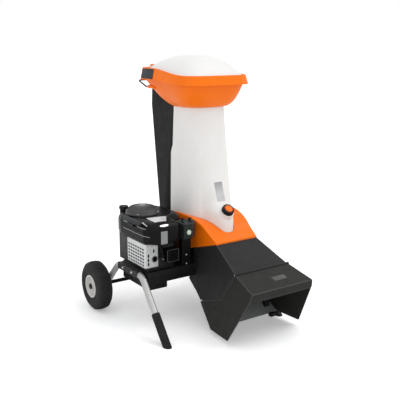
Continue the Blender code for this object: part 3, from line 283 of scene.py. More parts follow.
class Finish:
    # One material and the few node patterns that its maker strings together.
    def __init__(self, name, colour, roughness, metallic=0.0, shine=0.5):
        self.made = bpy.data.materials.new(name)
        self.made.use_nodes = True
        self.tree = self.made.node_tree
        self.shader = self.tree.nodes["Principled BSDF"].inputs
        self.shader["Base Color"].default_value = colour
        self.shader["Roughness"].default_value = roughness
        self.shader["Metallic"].default_value = metallic
        self.shader["Specular IOR Level"].default_value = shine
        self.place = self.node("TexCoord", "Object")
        self.relief = None

    def node(self, kind, output, *inputs, **settings):
        return wired(self.tree, "ShaderNode" + kind, inputs, **settings).outputs[output]

    def noise(self, scale, detail=3.0, rough=0.55, stretch=None):
        place = self.place
        if stretch:
            place = self.node("Mapping", "Vector", ("Scale", stretch), ("Vector", place))
        return self.node("TexNoise", "Fac", ("Scale", scale), ("Detail", detail), ("Roughness", rough),
                         ("Vector", place))

    def cells(self, scale, output="Distance"):
        return self.node("TexVoronoi", output, ("Scale", scale), ("Vector", self.place))

    def height(self):
        return self.node("SeparateXYZ", "Z", ("Vector", self.place))

    def band(self, value, low, high, start=0.0, end=1.0):
        return self.node("MapRange", "Result", ("From Min", low), ("From Max", high), ("To Min", start),
                         ("To Max", end),
                         ("Value", value))

    def coloured(self, amount, second):
        # Lays a second colour over what is there, by an amount from 0 to 1.
        base = self.shader["Base Color"]
        first = base.links[0].from_socket if base.is_linked else base.default_value[:]
        mix = self.node("Mix", "Result", ("A", first), ("B", second), ("Factor", amount), data_type="RGBA")
        self.tree.links.new(mix, base)

    def clouded(self, value, low, high, most, second):
        self.coloured(self.band(value, low, high, 0.0, most), second)

    def gloss(self, value, low, high):
        self.tree.links.new(self.band(value, 0.3, 0.7, low, high), self.shader["Roughness"])

    def bump(self, value, strength, depth):
        under = [("Normal", self.relief)] if self.relief else []
        self.relief = self.node("Bump", "Normal", ("Strength", strength), ("Distance", depth),
                                ("Height", value), *under)
        self.tree.links.new(self.relief, self.shader["Normal"])


print("helpers for finishes are ready")

# %% [markdown]
# Moulded plastics. The lid and tower are a pale grained plastic, the hopper and the base cover a bright
# orange one, and the chute a dark one with a coarse grain that scuffs pale. The grain is a field of
# small cells, as spark erosion leaves in a mould, and faint long clouds stand for the flow of the melt.

# %% Plastics
DUST = tint(142, 134, 122)
DUST_LEVELS = (0.42, 0.02)


def moulded(name, colour, deeper, paler, roughness, grain, depth, dust=0.0, shine=0.28):
    made = Finish(name, tint(*colour), roughness, shine=shine)
    made.clouded(made.noise(4.5, 4.0), 0.35, 0.75, 0.55, tint(*deeper))
    made.clouded(made.noise(70.0, 2.0, stretch=(1.0, 1.0, 0.15)), 0.52, 0.8, 0.35, tint(*paler))
    if dust:
        low = made.band(made.height(), *DUST_LEVELS)
        specks = made.band(made.noise(38.0, 6.0, 0.7), 0.5, 0.72, 0.0, dust)
        made.coloured(made.node("Math", 0, (0, low), (1, specks), operation="MULTIPLY"), DUST)
    made.gloss(made.noise(23.0, 3.0), roughness - 0.05, roughness + 0.08)
    made.bump(made.noise(14.0, 2.0), 0.06, 0.0008)
    made.bump(made.cells(grain), 0.35, depth)
    return made.made


(LID_WHITE, TOWER_WHITE, HOPPER_ORANGE, COVER_ORANGE, COLLAR_GREEN, BUTTON_PALE, GREY_TRIM_AND_HIGHLIGHT,
 LABEL_GREY) = (moulded(*row) for row in (
        ("lid_white_plastic", (232, 231, 228), (224, 223, 219), (238, 238, 236), 0.36, 900.0, 0.0001),
        ("tower_white_plastic", (233, 232, 229), (224, 222, 217), (240, 239, 237), 0.42, 700.0, 0.00014),
        ("hopper_orange_plastic", (250, 119, 12), (244, 109, 8), (252, 130, 24), 0.38, 620.0, 0.00012, 0.0,
         0.18),
        ("cover_orange_plastic", (247, 117, 10), (240, 105, 7), (250, 129, 22), 0.34, 620.0, 0.00012, 0.0,
         0.18),
        ("collar_green_plastic", (30, 62, 34), (24, 52, 28), (38, 72, 42), 0.36, 520.0, 0.0001),
        ("button_pale_green", (206, 218, 204), (180, 196, 178), (224, 232, 222), 0.34, 520.0, 0.0001),
        # This grey is also a painted highlight, as the strip on the cowl's front corner.
        ("strip_grey_plastic", (138, 140, 138), (126, 128, 126), (148, 150, 148), 0.36, 520.0, 0.00008),
        ("label_grey_plastic", (76, 77, 76), (66, 67, 66), (88, 89, 88), 0.4, 640.0, 0.00006)))
(CHUTE_GREY, CHUTE_EDGE_HIGHLIGHT, FLAP_GREY, FLAP_EDGE_HIGHLIGHT, SPINE_DARK, GRIP_DARK, KNOB_DARK, ENGINE_PLASTIC, DOME_PLASTIC,
 CONTROL_PLASTIC) = (moulded(*row) for row in (
        ("chute_dark_plastic", (39, 39, 40), (33, 33, 34), (50, 50, 50), 0.5, 420.0, 0.00022, 0.05, 0.12),
        # The two edge finishes are paler copies of the chute plastics, a painted highlight for the rounded edges.
        ("chute_worn_edge", (60, 60, 60), (52, 52, 52), (70, 70, 70), 0.46, 420.0, 0.00012, 0.1, 0.16),
        ("flap_dark_plastic", (40, 40, 38), (34, 34, 32), (50, 50, 49), 0.52, 420.0, 0.00022, 0.05, 0.12),
        ("flap_worn_edge", (64, 64, 63), (56, 56, 55), (74, 74, 73), 0.46, 420.0, 0.00012, 0.1, 0.16),
        ("spine_dark_plastic", (27, 27, 28), (22, 22, 23), (35, 35, 36), 0.5, 560.0, 0.00015, 0.0, 0.1),
        ("grip_soft_plastic", (62, 65, 66), (54, 57, 58), (74, 77, 78), 0.62, 380.0, 0.00028, 0.0, 0.14),
        ("knob_dark_plastic", (27, 27, 29), (21, 21, 23), (37, 37, 39), 0.46, 520.0, 0.00016, 0.0, 0.16),
        ("engine_black_plastic", (14, 14, 14), (10, 10, 10), (22, 22, 22), 0.3, 480.0, 0.00008, 0.0, 0.11),
        ("dome_grey_plastic", (74, 74, 75), (64, 64, 65), (86, 86, 87), 0.42, 480.0, 0.00014, 0.0, 0.2),
        ("control_grey_plastic", (38, 42, 42), (32, 36, 36), (50, 53, 53), 0.44, 520.0, 0.00014, 0.0, 0.16)))

# The window's recess is darker towards its top, where its edge keeps the light off.
window_look = Finish("window_grey_plastic", tint(196, 197, 198), 0.34)
window_look.coloured(window_look.band(window_look.height(), 0.64, 0.696), tint(146, 147, 148))
window_look.clouded(window_look.noise(46.0, 3.0), 0.45, 0.75, 0.5, tint(178, 176, 176))
window_look.gloss(window_look.noise(30.0, 3.0), 0.28, 0.42)
window_look.bump(window_look.cells(760.0), 0.2, 0.00006)
print("finishes so far:", len(bpy.data.materials))

# %% [markdown]
# Metals and rubber. Powder coat has a skin like an orange's. The bent tubes are a satin silver that
# shows long draw lines. The muffler guard is plated sheet, whose crystals catch the light one by one.
# Cast alloy is pitted. The tyre is matt, with dust held in the low parts of its grain.

# %% Metals
def coated(name, colour, deeper, roughness, metallic=0.0):
    made = Finish(name, tint(*colour), roughness, metallic, 0.14)
    made.clouded(made.noise(6.0, 5.0), 0.35, 0.7, 1.0, tint(*deeper))
    made.clouded(made.noise(260.0, 4.0, 0.7), 0.66, 0.8, 0.35, tint(92, 88, 84))
    made.gloss(made.noise(30.0, 3.0), roughness - 0.06, roughness + 0.1)
    made.bump(made.noise(330.0, 2.0), 0.3, 0.00025)
    return made.made


def drawn(name, colour, deeper, roughness, metallic, stretch):
    made = Finish(name, tint(*colour), roughness, metallic)
    made.clouded(made.noise(9.0, 4.0), 0.35, 0.7, 0.8, tint(*deeper))
    lines = made.noise(420.0, 3.0, 0.6, stretch)
    made.clouded(lines, 0.55, 0.8, 0.45, tint(*deeper))
    made.gloss(made.noise(60.0, 3.0), roughness - 0.07, roughness + 0.09)
    made.bump(lines, 0.16, 0.00008)
    return made.made


BLACK_COAT = coated("black_powder_coat", (25, 25, 25), (19, 19, 20), 0.42)
BRACKET_COAT = coated("bracket_powder_coat", (52, 52, 53), (44, 44, 45), 0.44, 0.1)
RIM_PAINT = coated("rim_grey_paint", (212, 211, 208), (196, 194, 190), 0.38)
SOOT_BLACK = coated("soot_black_paint", (13, 13, 13), (9, 9, 9), 0.5)
SATIN_SILVER = drawn("satin_silver_tube", (186, 186, 184), (166, 166, 164), 0.36, 0.35, (1.0, 0.06, 0.06))
BRIGHT_STEEL = drawn("bright_ground_steel", (206, 206, 205), (174, 173, 170), 0.26, 0.9, (1.0, 0.05, 1.0))
ZINC_BOLT = drawn("zinc_plated_bolt", (222, 222, 220), (188, 187, 184), 0.28, 0.8, (0.5, 0.5, 1.0))
BARE_FOIL = drawn("bare_plate_foil", (225, 226, 226), (212, 213, 213), 0.3, 0.15, (0.1, 1.0, 1.0))
WEAR_SHEET = drawn("rolled_wear_sheet", (164, 166, 167), (142, 144, 145), 0.42, 0.3, (1.0, 0.1, 0.1))

plated = Finish("plated_guard_sheet", tint(204, 205, 205), 0.38, 0.45)
plated.clouded(plated.cells(210.0, "Color"), 0.2, 0.9, 0.3, tint(222, 223, 223))
plated.clouded(plated.noise(24.0, 5.0), 0.45, 0.75, 0.25, tint(178, 176, 172))
plated.gloss(plated.cells(210.0, "Color"), 0.34, 0.42)
plated.bump(plated.cells(210.0), 0.04, 0.00006)

alloy = Finish("cast_engine_alloy", tint(30, 30, 31), 0.52, 0.3)
alloy.clouded(alloy.noise(14.0, 6.0, 0.65), 0.35, 0.7, 1.0, tint(21, 21, 22))
alloy.gloss(alloy.noise(90.0, 4.0), 0.42, 0.66)
alloy.bump(alloy.cells(360.0), 0.45, 0.0004)
alloy.bump(alloy.noise(75.0, 5.0), 0.3, 0.0006)

WINDOW_GREY, GUARD_PLATE, ENGINE_ALLOY = window_look.made, plated.made, alloy.made
print("finishes so far:", len(bpy.data.materials))

# %% Rubber
def rubber(name, colour, deeper, dusty, dust, grain):
    made = Finish(name, tint(*colour), 0.74, shine=0.2)
    made.clouded(made.noise(16.0, 4.0), 0.35, 0.7, 1.0, tint(*deeper))
    made.clouded(made.noise(48.0, 6.0, 0.7), 0.52, 0.74, dust, tint(*dusty))
    made.gloss(made.noise(40.0, 4.0), 0.64, 0.84)
    made.bump(made.cells(grain), 0.3, 0.0003)
    made.bump(made.noise(30.0, 3.0), 0.1, 0.0006)
    return made.made


TYRE_BLACK = rubber("tyre_black_rubber", (41, 41, 41), (32, 32, 32), (72, 70, 67), 0.36, 520.0)
SLEEVE_BLACK = rubber("sleeve_black_rubber", (31, 31, 31), (24, 24, 24), (56, 54, 52), 0.26, 640.0)
BELT_RUBBER = rubber("belt_rubber", (48, 47, 46), (38, 38, 38), (74, 70, 66), 0.25, 760.0)
print("finishes in all:", len(bpy.data.materials))

# %% [markdown]
# Studio. The floor and the world are white to the camera, and the shadow on the floor is kept. The
# light is a pale world and three very wide sun lamps, because a sun lights a large floor evenly and a
# wide one has the soft shadow edges of a photo studio. Their levels add up to about one, so that a
# colour renders as it is written.

# %% Floor, world and lamps
FLOOR_SIZE = 30.0
bm = bmesh.new()
bmesh.ops.create_grid(bm, x_segments=2, y_segments=2, size=FLOOR_SIZE)
floor = linked("studio_floor", mesh_of("studio_floor", bm))
paper = Finish("studio_paper", (0.93, 0.93, 0.93, 1.0), 0.85)
paper.clouded(paper.noise(2.0, 3.0), 0.3, 0.7, 1.0, (0.94, 0.94, 0.94, 1.0))
sheet = paper.tree.nodes["Principled BSDF"].outputs["BSDF"]
glow = paper.node("Emission", "Emission", ("Strength", 0.27))
both = paper.node("AddShader", "Shader", (0, sheet), (1, glow))
seen = paper.node("LightPath", "Is Camera Ray")
pick = paper.node("MixShader", "Shader", ("Fac", seen), (1, sheet), (2, both))
paper.tree.links.new(pick, paper.tree.nodes["Material Output"].inputs["Surface"])
floor.data.materials.append(paper.made)

scene.world = bpy.data.worlds.new("studio_world")
scene.world.use_nodes = True
tree = scene.world.node_tree
lit = tree.nodes["Background"]
lit.inputs["Color"].default_value = (0.97, 0.98, 1.0, 1.0)
lit.inputs["Strength"].default_value = 0.66
white = wired(tree, "ShaderNodeBackground", [("Color", (1.0, 1.0, 1.0, 1.0)), ("Strength", 1.0)])
rays = wired(tree, "ShaderNodeLightPath").outputs
total = rays["Is Camera Ray"]
for key in ("Is Glossy Ray", "Is Transmission Ray"):
    total = wired(tree, "ShaderNodeMath", [(0, total), (1, rays[key])], operation="MAXIMUM").outputs[0]
pick = wired(tree, "ShaderNodeMixShader", [("Fac", total), (1, lit.outputs[0]), (2, white.outputs[0])])
tree.links.new(pick.outputs[0], tree.nodes["World Output"].inputs["Surface"])

SUNS = (("key_sun", 1.1, 44.0, (0.55, -0.45, 1.0)), ("top_sun", 0.45, 80.0, (-0.1, 0.2, 1.0)),
        ("fill_sun", 0.42, 70.0, (-0.9, -0.8, 0.6)))
for name, strength, spread, comes_from in SUNS:
    lamp = bpy.data.lights.new(name, "SUN")
    lamp.energy = strength
    lamp.angle = math.radians(spread)
    linked(name, lamp).rotation_euler = Vector(comes_from).to_track_quat("Z", "Y").to_euler()
scene.view_settings.view_transform = "Standard"

# %% [markdown]
# The camera stands where the photographer stood: its height, turn and lens were solved from the wheel,
# the foot, the chute's corners and the hopper's rim in the photo.

# %% Camera
camera = linked("studio_camera", bpy.data.cameras.new("studio_camera"))
camera.location = (-1.837, -2.6965, 1.374)
camera.rotation_euler = (math.radians(76.94), 0.0, math.radians(-34.3))
camera.data.lens = 60.0
camera.data.sensor_width = 36.0
scene.camera = camera
print("camera lens:", camera.data.lens, "mm")

# %% [markdown]
# Many small things repeat on this machine: tread blocks, bolts, cooling fins, guard slots and ribs.
# Geometry Nodes lays them out, because the count and the pitch then stay numbers that can be changed.
# Two trees are enough: one sets copies round a ring, and one sets a copy at each point of a mesh,
# facing the way that the point's own attribute says.

# %% Node trees that lay out copies
def layout_tree(name, inputs, plan):
    # The plan says where the copies go and how they turn. The tree sets them and gives them a finish.
    tree = bpy.data.node_groups.new(name, "GeometryNodeTree")
    for key, kind in [("Geometry", "Geometry"), ("Copy", "Object")] + inputs + [("Finish", "Material")]:
        tree.interface.new_socket(key, in_out="INPUT", socket_type="NodeSocket" + kind)
    tree.interface.new_socket("Geometry", in_out="OUTPUT", socket_type="NodeSocketGeometry")
    given = tree.nodes.new("NodeGroupInput").outputs

    def node(kind, *links, output=0, **settings):
        return wired(tree, kind, links, **settings).outputs[output]

    shape = node("GeometryNodeObjectInfo", ("Object", given["Copy"]), output="Geometry")
    made = node("GeometryNodeInstanceOnPoints", ("Instance", shape), *plan(node, given))
    real = node("GeometryNodeRealizeInstances", ("Geometry", made))
    painted = node("GeometryNodeSetMaterial", ("Geometry", real), ("Material", given["Finish"]))
    tree.links.new(painted, tree.nodes.new("NodeGroupOutput").inputs[0])
    return tree


def ring_plan(node, given):
    def maths(operation, *values):
        return node("ShaderNodeMath", *enumerate(values), operation=operation)

    step = maths("DIVIDE", math.tau, given["Count"])
    turn = maths("MULTIPLY_ADD", node("GeometryNodeInputIndex"), step, given["Start"])
    waves = [maths(kind, turn) for kind in ("COSINE", "SINE")]
    x, y = (maths("MULTIPLY", wave, given["Radius"]) for wave in waves)
    row = node("GeometryNodeMeshLine", ("Count", given["Count"]))
    place = node("ShaderNodeCombineXYZ", ("X", x), ("Y", y))
    facing = node("ShaderNodeCombineXYZ", ("Z", turn))
    moved = node("GeometryNodeSetPosition", ("Geometry", row), ("Position", place))
    return ("Points", moved), ("Rotation", facing)


def points_plan(node, given):
    way = node("GeometryNodeInputNamedAttribute", ("Name", "way"), data_type="FLOAT_VECTOR")
    facing = node("FunctionNodeAlignEulerToVector", ("Vector", way), axis="Z")
    return ("Points", given["Geometry"]), ("Rotation", facing), ("Scale", given["Size"])


RING = layout_tree("ring_of_copies", [("Count", "Int"), ("Radius", "Float"), ("Start", "Float")], ring_plan)
AT_POINTS = layout_tree("copy_at_each_point", [("Size", "Float")], points_plan)
print("node trees:", RING.name, AT_POINTS.name)

# %% Run a tree and keep the plain mesh
PATTERNS = []


def laid_out(name, tree, mesh, values, place=Matrix()):
    # Sets the tree's inputs by identifier, evaluates it once and keeps a plain mesh at its place.
    carrier = linked("carrier", mesh)
    step = carrier.modifiers.new("layout", "NODES")
    step.node_group = tree
    for item in tree.interface.items_tree:
        if item.in_out == "INPUT" and item.name in values:
            step[item.identifier] = values[item.name]
    mesh = evaluated_mesh(carrier)
    mesh.transform(place)
    mesh.transform(Matrix.Translation(TO_ORIGIN))
    mesh.name = name
    sharp_edges(mesh, SHARP)
    bpy.data.objects.remove(carrier, do_unlink=True)
    return linked(name, mesh)


def pattern(name, *shapes):
    # Skins about the origin for the trees to copy. They aren't shown, and the last cell removes them.
    bm = bmesh.new()
    for shape in shapes:
        if isinstance(shape[-1], int):
            lathe(bm, *shape)
        else:
            bridge(bm, shape)
    bmesh.ops.recalc_face_normals(bm, faces=bm.faces[:])
    made = linked(name, mesh_of(name, bm))
    sharp_edges(made.data, SHARP)
    made.hide_render = True
    PATTERNS.append(made)
    return made


def ring_of(name, shape, count, radius, look, centre, way, start=0.0):
    values = {"Copy": shape, "Count": count, "Radius": radius, "Start": start, "Finish": look}
    return laid_out(name, RING, bpy.data.meshes.new("carrier"), values, aim(centre, way))


def set_at(name, shape, places, look, size=1.0):
    # places: (point, way) pairs.
    mesh = bpy.data.meshes.new("carrier")
    mesh.from_pydata([tuple(p) for p, w in places], [], [])
    ways = mesh.attributes.new("way", "FLOAT_VECTOR", "POINT")
    ways.data.foreach_set("vector", [c for p, w in places for c in w])
    return laid_out(name, AT_POINTS, mesh, {"Copy": shape, "Size": size, "Finish": look})


def facing(way, *points):
    return [(Vector(p), way) for p in points]


def four(a, b, c):
    # The corners of a flat rectangle about the z axis, at a height.
    return [(-a, -b, c), (a, -b, c), (a, b, c), (-a, b, c)]


# A bolt is a washer and a hexagon head with a turned top, 10 mm across the washer.
HEX_BOLT = pattern(
    "hex_bolt_shape", (mm((0, 0.9), (5, 0.9), (5.2, 0.7), (5.2, 0), (0, 0)), 20),
    (mm((0, 4.2), (3, 4.2), (4.2, 3.8), (4.3, 0.9), (0, 0.9)), 6))
PAN_SCREW = pattern(
    "pan_screw_shape",
    (mm((1.2, 1.2), (1.8, 2), (3, 1.6), (3.6, 0.6), (3.7, 0), (0, 0)), 16),
    (mm((0, 0.7), (1, 0.7), (1.2, 1.2)), 16))
print("patterns:", HEX_BOLT.name, PAN_SCREW.name)

# %% [markdown]
# Every CAD part keeps its mesh. Those that stay in view get a finish and, as modifiers, a weld of their
# loose triangles and a small rounded edge, because no real sheet or casting has a knife edge.

# %% Dress a CAD part, or stand a finer piece in its place
USED = set()
FLAT_ANGLE = 0.5


def dress(name, look, edge=0.0, angle=30, segments=2):
    part = frame["nodes"][name]
    part.data.materials.clear()
    part.data.materials.append(look)
    part.data.polygons.foreach_set("use_smooth", [True] * len(part.data.polygons))
    live_step(part, "WELD", merge_threshold=0.00001)
    if edge:
        live_step(part, "DECIMATE", decimate_type="DISSOLVE", angle_limit=math.radians(FLAT_ANGLE))
        live_step(part, "BEVEL", width=edge, segments=segments, limit_method="ANGLE",
                  angle_limit=math.radians(angle), harden_normals=True, use_clamp_overlap=True)
    else:
        live_step(part, "EDGE_SPLIT", split_angle=math.radians(angle))
    USED.add(name)


def painted(thing, look):
    thing.data.materials.clear()
    thing.data.materials.append(look)
    return thing


def wear(thing, look, slot, *stands_for, body="chassis"):
    # Gives a new piece its finish and body; the slot argument is not used. It rides with the CAD parts that it
    # stands for.
    if look:
        painted(thing, look)
    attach(thing, BODY_OF[stands_for[0]] if stands_for else body)
    if stands_for:
        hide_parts(*stands_for)
        USED.update(stands_for)
    return thing


def fix(name, shape, places, look, slot, size=1.0, body="chassis"):
    # A set of equal fixings as one piece.
    return wear(set_at(name, shape, places, look, size), None, slot, body=body)


print("ready to dress parts")

# %% [markdown]
# Wheels. They are 260 mm pneumatic tyres on pressed steel rims. The tyre is turned from a smooth
# profile, and rows of low tread blocks stand on it, laid out round a ring. The rim is dished, with a
# rolled edge, a valve stem and a hub tube, and a push-on cap hides the axle's end.

# %% Smooth profiles
def eased(points, pieces=4):
    # A curve that passes through the points, without corners.
    points = [Vector(p) for p in points]
    made = []
    for a, b, c, d in zip(points[:1] + points, points, points[1:], points[2:] + points[-1:]):
        for t in (j / pieces for j in range(pieces)):
            made.append(0.5 * (2 * b + (c - a) * t + (2 * a - 5 * b + 4 * c - d) * t * t
                               + (3 * b - a - 3 * c + d) * t ** 3))
    return made + points[-1:]


AXLE_Y, AXLE_Z = 0.369, 0.13
TYRE_SIDE = mm((58.5, 35.2), (62.5, 36.2), (70, 37.8), (85, 39.4), (100, 39.6), (112, 36.6), (120, 31),
               (125.5, 20.5), (127.2, 10), (127.7, 0))
BEAD = mm((58.5, -30), (58.5, 30))
tyre_half = [(p.x, p.y) for p in eased([(r, z, 0.0) for r, z in TYRE_SIDE])]
tyre_profile = tyre_half + [(r, -z) for r, z in reversed(tyre_half[:-1])] + BEAD
print("tyre profile points:", len(tyre_profile))

# %% Tyres with their tread
def tread_block(width, length, height):
    steps = ((-0.003, 1.0, 1.0), (height * 0.45, 1.0, 1.0), (height, 0.84, 0.82))
    return [[(z, l, w) for l, w, z in four(length * b / 2, width * a / 2, z)] for z, a, b in steps]


def joined(name, pieces):
    # Several plain meshes as one, each with its own finish.
    bm = bmesh.new()
    looks = list(dict.fromkeys(piece.data.materials[-1] for piece in pieces))
    for piece in pieces:
        before = len(bm.faces)
        bm.from_mesh(piece.data)
        bm.faces.ensure_lookup_table()
        for face in bm.faces[before:]:
            face.material_index = looks.index(piece.data.materials[-1])
        bpy.data.objects.remove(piece, do_unlink=True)
    thing = linked(name, mesh_of(name, bm))
    for look in looks:
        thing.data.materials.append(look)
    sharp_edges(thing.data, SHARP)
    return thing


TREAD_COUNT = 44
MIDDLE_BLOCK = pattern("middle_tread_shape", tread_block(0.0085, 0.015, 0.0022))
SHOULDER_BLOCK = pattern("shoulder_tread_shape", tread_block(0.009, 0.013, 0.0022))
TREAD_ROWS = ((0.0, 0.1276, MIDDLE_BLOCK), (-0.0115, 0.1268, MIDDLE_BLOCK), (0.0115, 0.1268, MIDDLE_BLOCK),
              (-0.0225, 0.1243, SHOULDER_BLOCK), (0.0225, 0.1243, SHOULDER_BLOCK))
WALL_RINGS = [(r, h * turn, turn) for h, r in ((0.0392, 0.085), (0.038, 0.0715)) for turn in (1, -1)]
RIM_OUTSIDE = mm((18, 34), (19.6, 33), (20, 22), (21.5, 18.5), (30, 15.2), (38.5, 14.8), (45, 16.8),
                 (49, 21.5), (51.5, 30), (53, 37.2), (55, 38.5), (58.5, 38.3), (60.6, 37.4), (60.7, 36.6),
                 (56.7, 36.2), (56, 33))
RIM_INSIDE = mm((51.5, -29), (47, 9), (39, 10.8), (30, 10.5), (21.5, 8.8), (19, 6), (18.8, -33), (18, -34),
                (10.5, -34), (10.5, 34))
RIM = RIM_OUTSIDE + [(r, -z) for r, z in RIM_OUTSIDE[:8:-1]] + RIM_INSIDE
HUB_CAP = mm((0, 42.3), (5, 42.1), (9, 41.4), (12, 40.4), (12.2, 39.9), (12.8, 39.9), (14.5, 39), (16, 37.4),
             (16.4, 35.5), (16.4, 34.4), (12.8, 34.4), (12.6, 37.2), (0, 39))


def wheel(side, x, out):
    centre, way = Vector((x, AXLE_Y, AXLE_Z)), Vector((out, 0.0, 0.0))
    place = aim(centre, way)
    parts = [painted(turned("tyre_carcass", tyre_profile, centre, way, 96, ring=True), TYRE_BLACK)]
    for row, (offset, radius, shape) in enumerate(TREAD_ROWS):
        start = (row % 2) * math.pi / TREAD_COUNT
        parts.append(ring_of("tread_row", shape, TREAD_COUNT, radius, TYRE_BLACK, centre + way * offset, way,
                             start))
    for r, h, turn in WALL_RINGS:
        section = [(r - 0.0012, h - turn * 0.0012), (r, h + turn * 0.0006), (r + 0.0014, h - turn * 0.0004)]
        parts.append(painted(turned("wall_ring", section, centre, way, 96, ring=True), TYRE_BLACK))
    wear(joined("tyre_" + side + "_moulded", parts), None, "tyre", "tyre_" + side)

    rim = painted(turned("rim_pressing", RIM, centre, way, 72, ring=True), RIM_PAINT)
    start, end = place @ Vector((0.04, 0.012, 0.011)), place @ Vector((0.036, 0.011, 0.03))
    valve = painted(rod("valve_stem", start, end, 0.003, 20, 0.0008), TYRE_BLACK)
    tip = painted(rod("valve_tip", end, end + (end - start).normalized() * 0.005, 0.0023, 16, 0.0006),
                  ZINC_BOLT)
    rivets = ring_of("rim_rivets", PAN_SCREW, 5, 0.03, ZINC_BOLT, place @ Vector((0.0, 0.0, 0.015)), way, 0.3)
    wear(joined("rim_" + side + "_pressed", [rim, valve, tip, rivets]), None, "rim_grey", "rim_" + side)
    wear(turned("hub_cap_" + side + "_domed", HUB_CAP, centre, way, 48), KNOB_DARK, "dark_plastic",
         "hub_cap_" + side)


wheel("left", -0.512, -1.0)
wheel("right", 0.284, 1.0)
print("wheels made, with", TREAD_COUNT * len(TREAD_ROWS), "tread blocks on each")

# %% [markdown]
# Chassis. Each side is one tube, bent twice, that runs from the axle over the belt housing's end to a
# foot in a rubber sleeve. A round bar swept along the bent path gives its satin line of light. A
# channel of folded sheet clamps it to the housing with two bolts.

# %% Tubes, sleeves and axle
REAR_CORNER, FRONT_CORNER = Vector((0.0, 0.222, 0.28)), Vector((0.0, -0.023, 0.28))
AXLE_POINT, FOOT_POINT = Vector((0.0, AXLE_Y, AXLE_Z)), Vector((0.0, -0.25, 0.0))
REAR_WAY = (AXLE_POINT - REAR_CORNER).normalized()
FOOT_WAY = (FOOT_POINT - FRONT_CORNER).normalized()
TUBE_END = FOOT_POINT - FOOT_WAY * 0.0257
SLEEVE_TOP = FOOT_POINT - FOOT_WAY * (0.13 / -FOOT_WAY.z)
tube_path = bent((AXLE_POINT + REAR_WAY * 0.022, REAR_CORNER, FRONT_CORNER, TUBE_END), 0.06, 12)

# The sleeve has a rolled top, shallow rings near its end and a sole cut level with the floor.
length = (FOOT_POINT + FOOT_WAY * 0.03 - SLEEVE_TOP).length
R = 0.0205
sleeve_profile = [(0.0, 0.0), (0.016, 0.0), (0.0163, 0.0), (0.019, 0.0003), (0.0202, 0.0016), (R, 0.0034),
                  (R, 0.006),
                  (0.0199, 0.0068), (0.0199, 0.008), (R, 0.0088)]
for z in (length - 0.062 + 0.006 * k for k in range(4)):
    sleeve_profile += [(R, z), (0.0198, z + 0.0008), (0.0198, z + 0.0022), (R, z + 0.003)]
sleeve_profile += [(R, length), (0.0, length)]
for side, x, out in (("left", -0.454, -1.0), ("right", 0.226, 1.0)):
    across = Vector((x, 0.0, 0.0))
    path = [p + across for p in tube_path]
    pipe = along("tube_" + side + "_bent", path, 0.016, 40)
    carve(pipe, along("tube_mouth", [path[0] + REAR_WAY * 0.01] + path[1:4], 0.014, 40),
          rod("axle_hole", (x - 0.03, AXLE_Y, AXLE_Z), (x + 0.03, AXLE_Y, AXLE_Z), 0.0103), angle=SHARP)
    wear(pipe, SATIN_SILVER, "silver_tube", "chassis_tube_" + side)
    sleeve = turned("foot_sleeve_" + side + "_moulded", sleeve_profile, SLEEVE_TOP + across, FOOT_WAY, 48)
    room = rod("tube_room", SLEEVE_TOP - FOOT_WAY * 0.02 + across, TUBE_END + FOOT_WAY * 0.0003 + across,
               0.0163, 40)
    carve(sleeve, block("floor_cut", (x - 0.1, -0.35, -0.1), (x + 0.1, -0.15, 0.0)), room, angle=SHARP)
    wear(sleeve, SLEEVE_BLACK, "rubber", "foot_sleeve_" + side)
    dress("tube_bracket_" + side, BRACKET_COAT, 0.0012)

dress("wheel_axle", BLACK_COAT)
bracket_bolts = [(Vector((x + 0.0193 * out, y, 0.285)), Vector((out, 0.0, 0.0)))
                 for x, out in ((-0.454, -1.0), (0.226, 1.0)) for y in (0.048, 0.138)]
fix("bracket_bolts", HEX_BOLT, bracket_bolts, ZINC_BOLT, "bright_steel", 1.2)
print("tubes, sleeves, brackets and", len(bracket_bolts), "bolts are on")

# %% [markdown]
# Hopper. It is one orange moulding: a bowl that grows from the tower's throat to a wide rectangle with
# round corners, and a rim folded outwards and down over it. The front of the rim sits lower than its
# rear. A superellipse gives each level's outline, so a skin over many sections follows it exactly.

# %% Rules for the hopper's shape
TOWER_TOP_Z, HOPPER_Y = 1.07, 0.2075
RIM_HALF_X, RIM_HALF_Y, RIM_POWER = 0.2, 0.2575, 4.5


def smooth(low, high, value):
    t = min(1.0, max(0.0, (value - low) / (high - low)))
    return t * t * (3 - 2 * t)


def between(table, value):
    if value <= table[0][0]:
        return table[0][1]
    for (a, u), (b, v) in zip(table, table[1:]):
        if value <= b:
            return u + (v - u) * (value - a) / (b - a)
    return table[-1][1]


def superellipse(t, half_x, half_y, power):
    return [half * math.copysign(abs(wave) ** (2 / power), wave)
            for half, wave in ((half_x, math.cos(t)), (half_y, math.sin(t)))]


def rim_top(y):
    return 1.231 + 0.031 * smooth(0.0, 0.3, y)


def rim_low(y):
    return rim_top(y) - 0.047 - 0.015 * smooth(0.0, 0.3, y)


def bowl_point(t, part, thin):
    x0, y0 = superellipse(t, 0.121 - thin, 0.117 - thin, 2.5)
    x1, y1 = superellipse(t, 0.192 - thin, 0.249 - thin, RIM_POWER)
    y0, y1 = y0 + 0.155, y1 + HOPPER_Y
    low = TOWER_TOP_Z + 0.0003
    belly = 1.5 + 0.75 * (1.0 - smooth(0.02, 0.24, y1))
    rise = (rim_low(y1) + 0.005 - low) * part ** belly + (thin * 0.8 if part > 0 else 0.0)
    return x0 + (x1 - x0) * part, y0 + (y1 - y0) * part, low + rise


def rim_point(t, out, share):
    x, y = superellipse(t, RIM_HALF_X + out, RIM_HALF_Y + out, RIM_POWER)
    y += HOPPER_Y
    return x, y, rim_low(y) + (rim_top(y) - rim_low(y)) * share


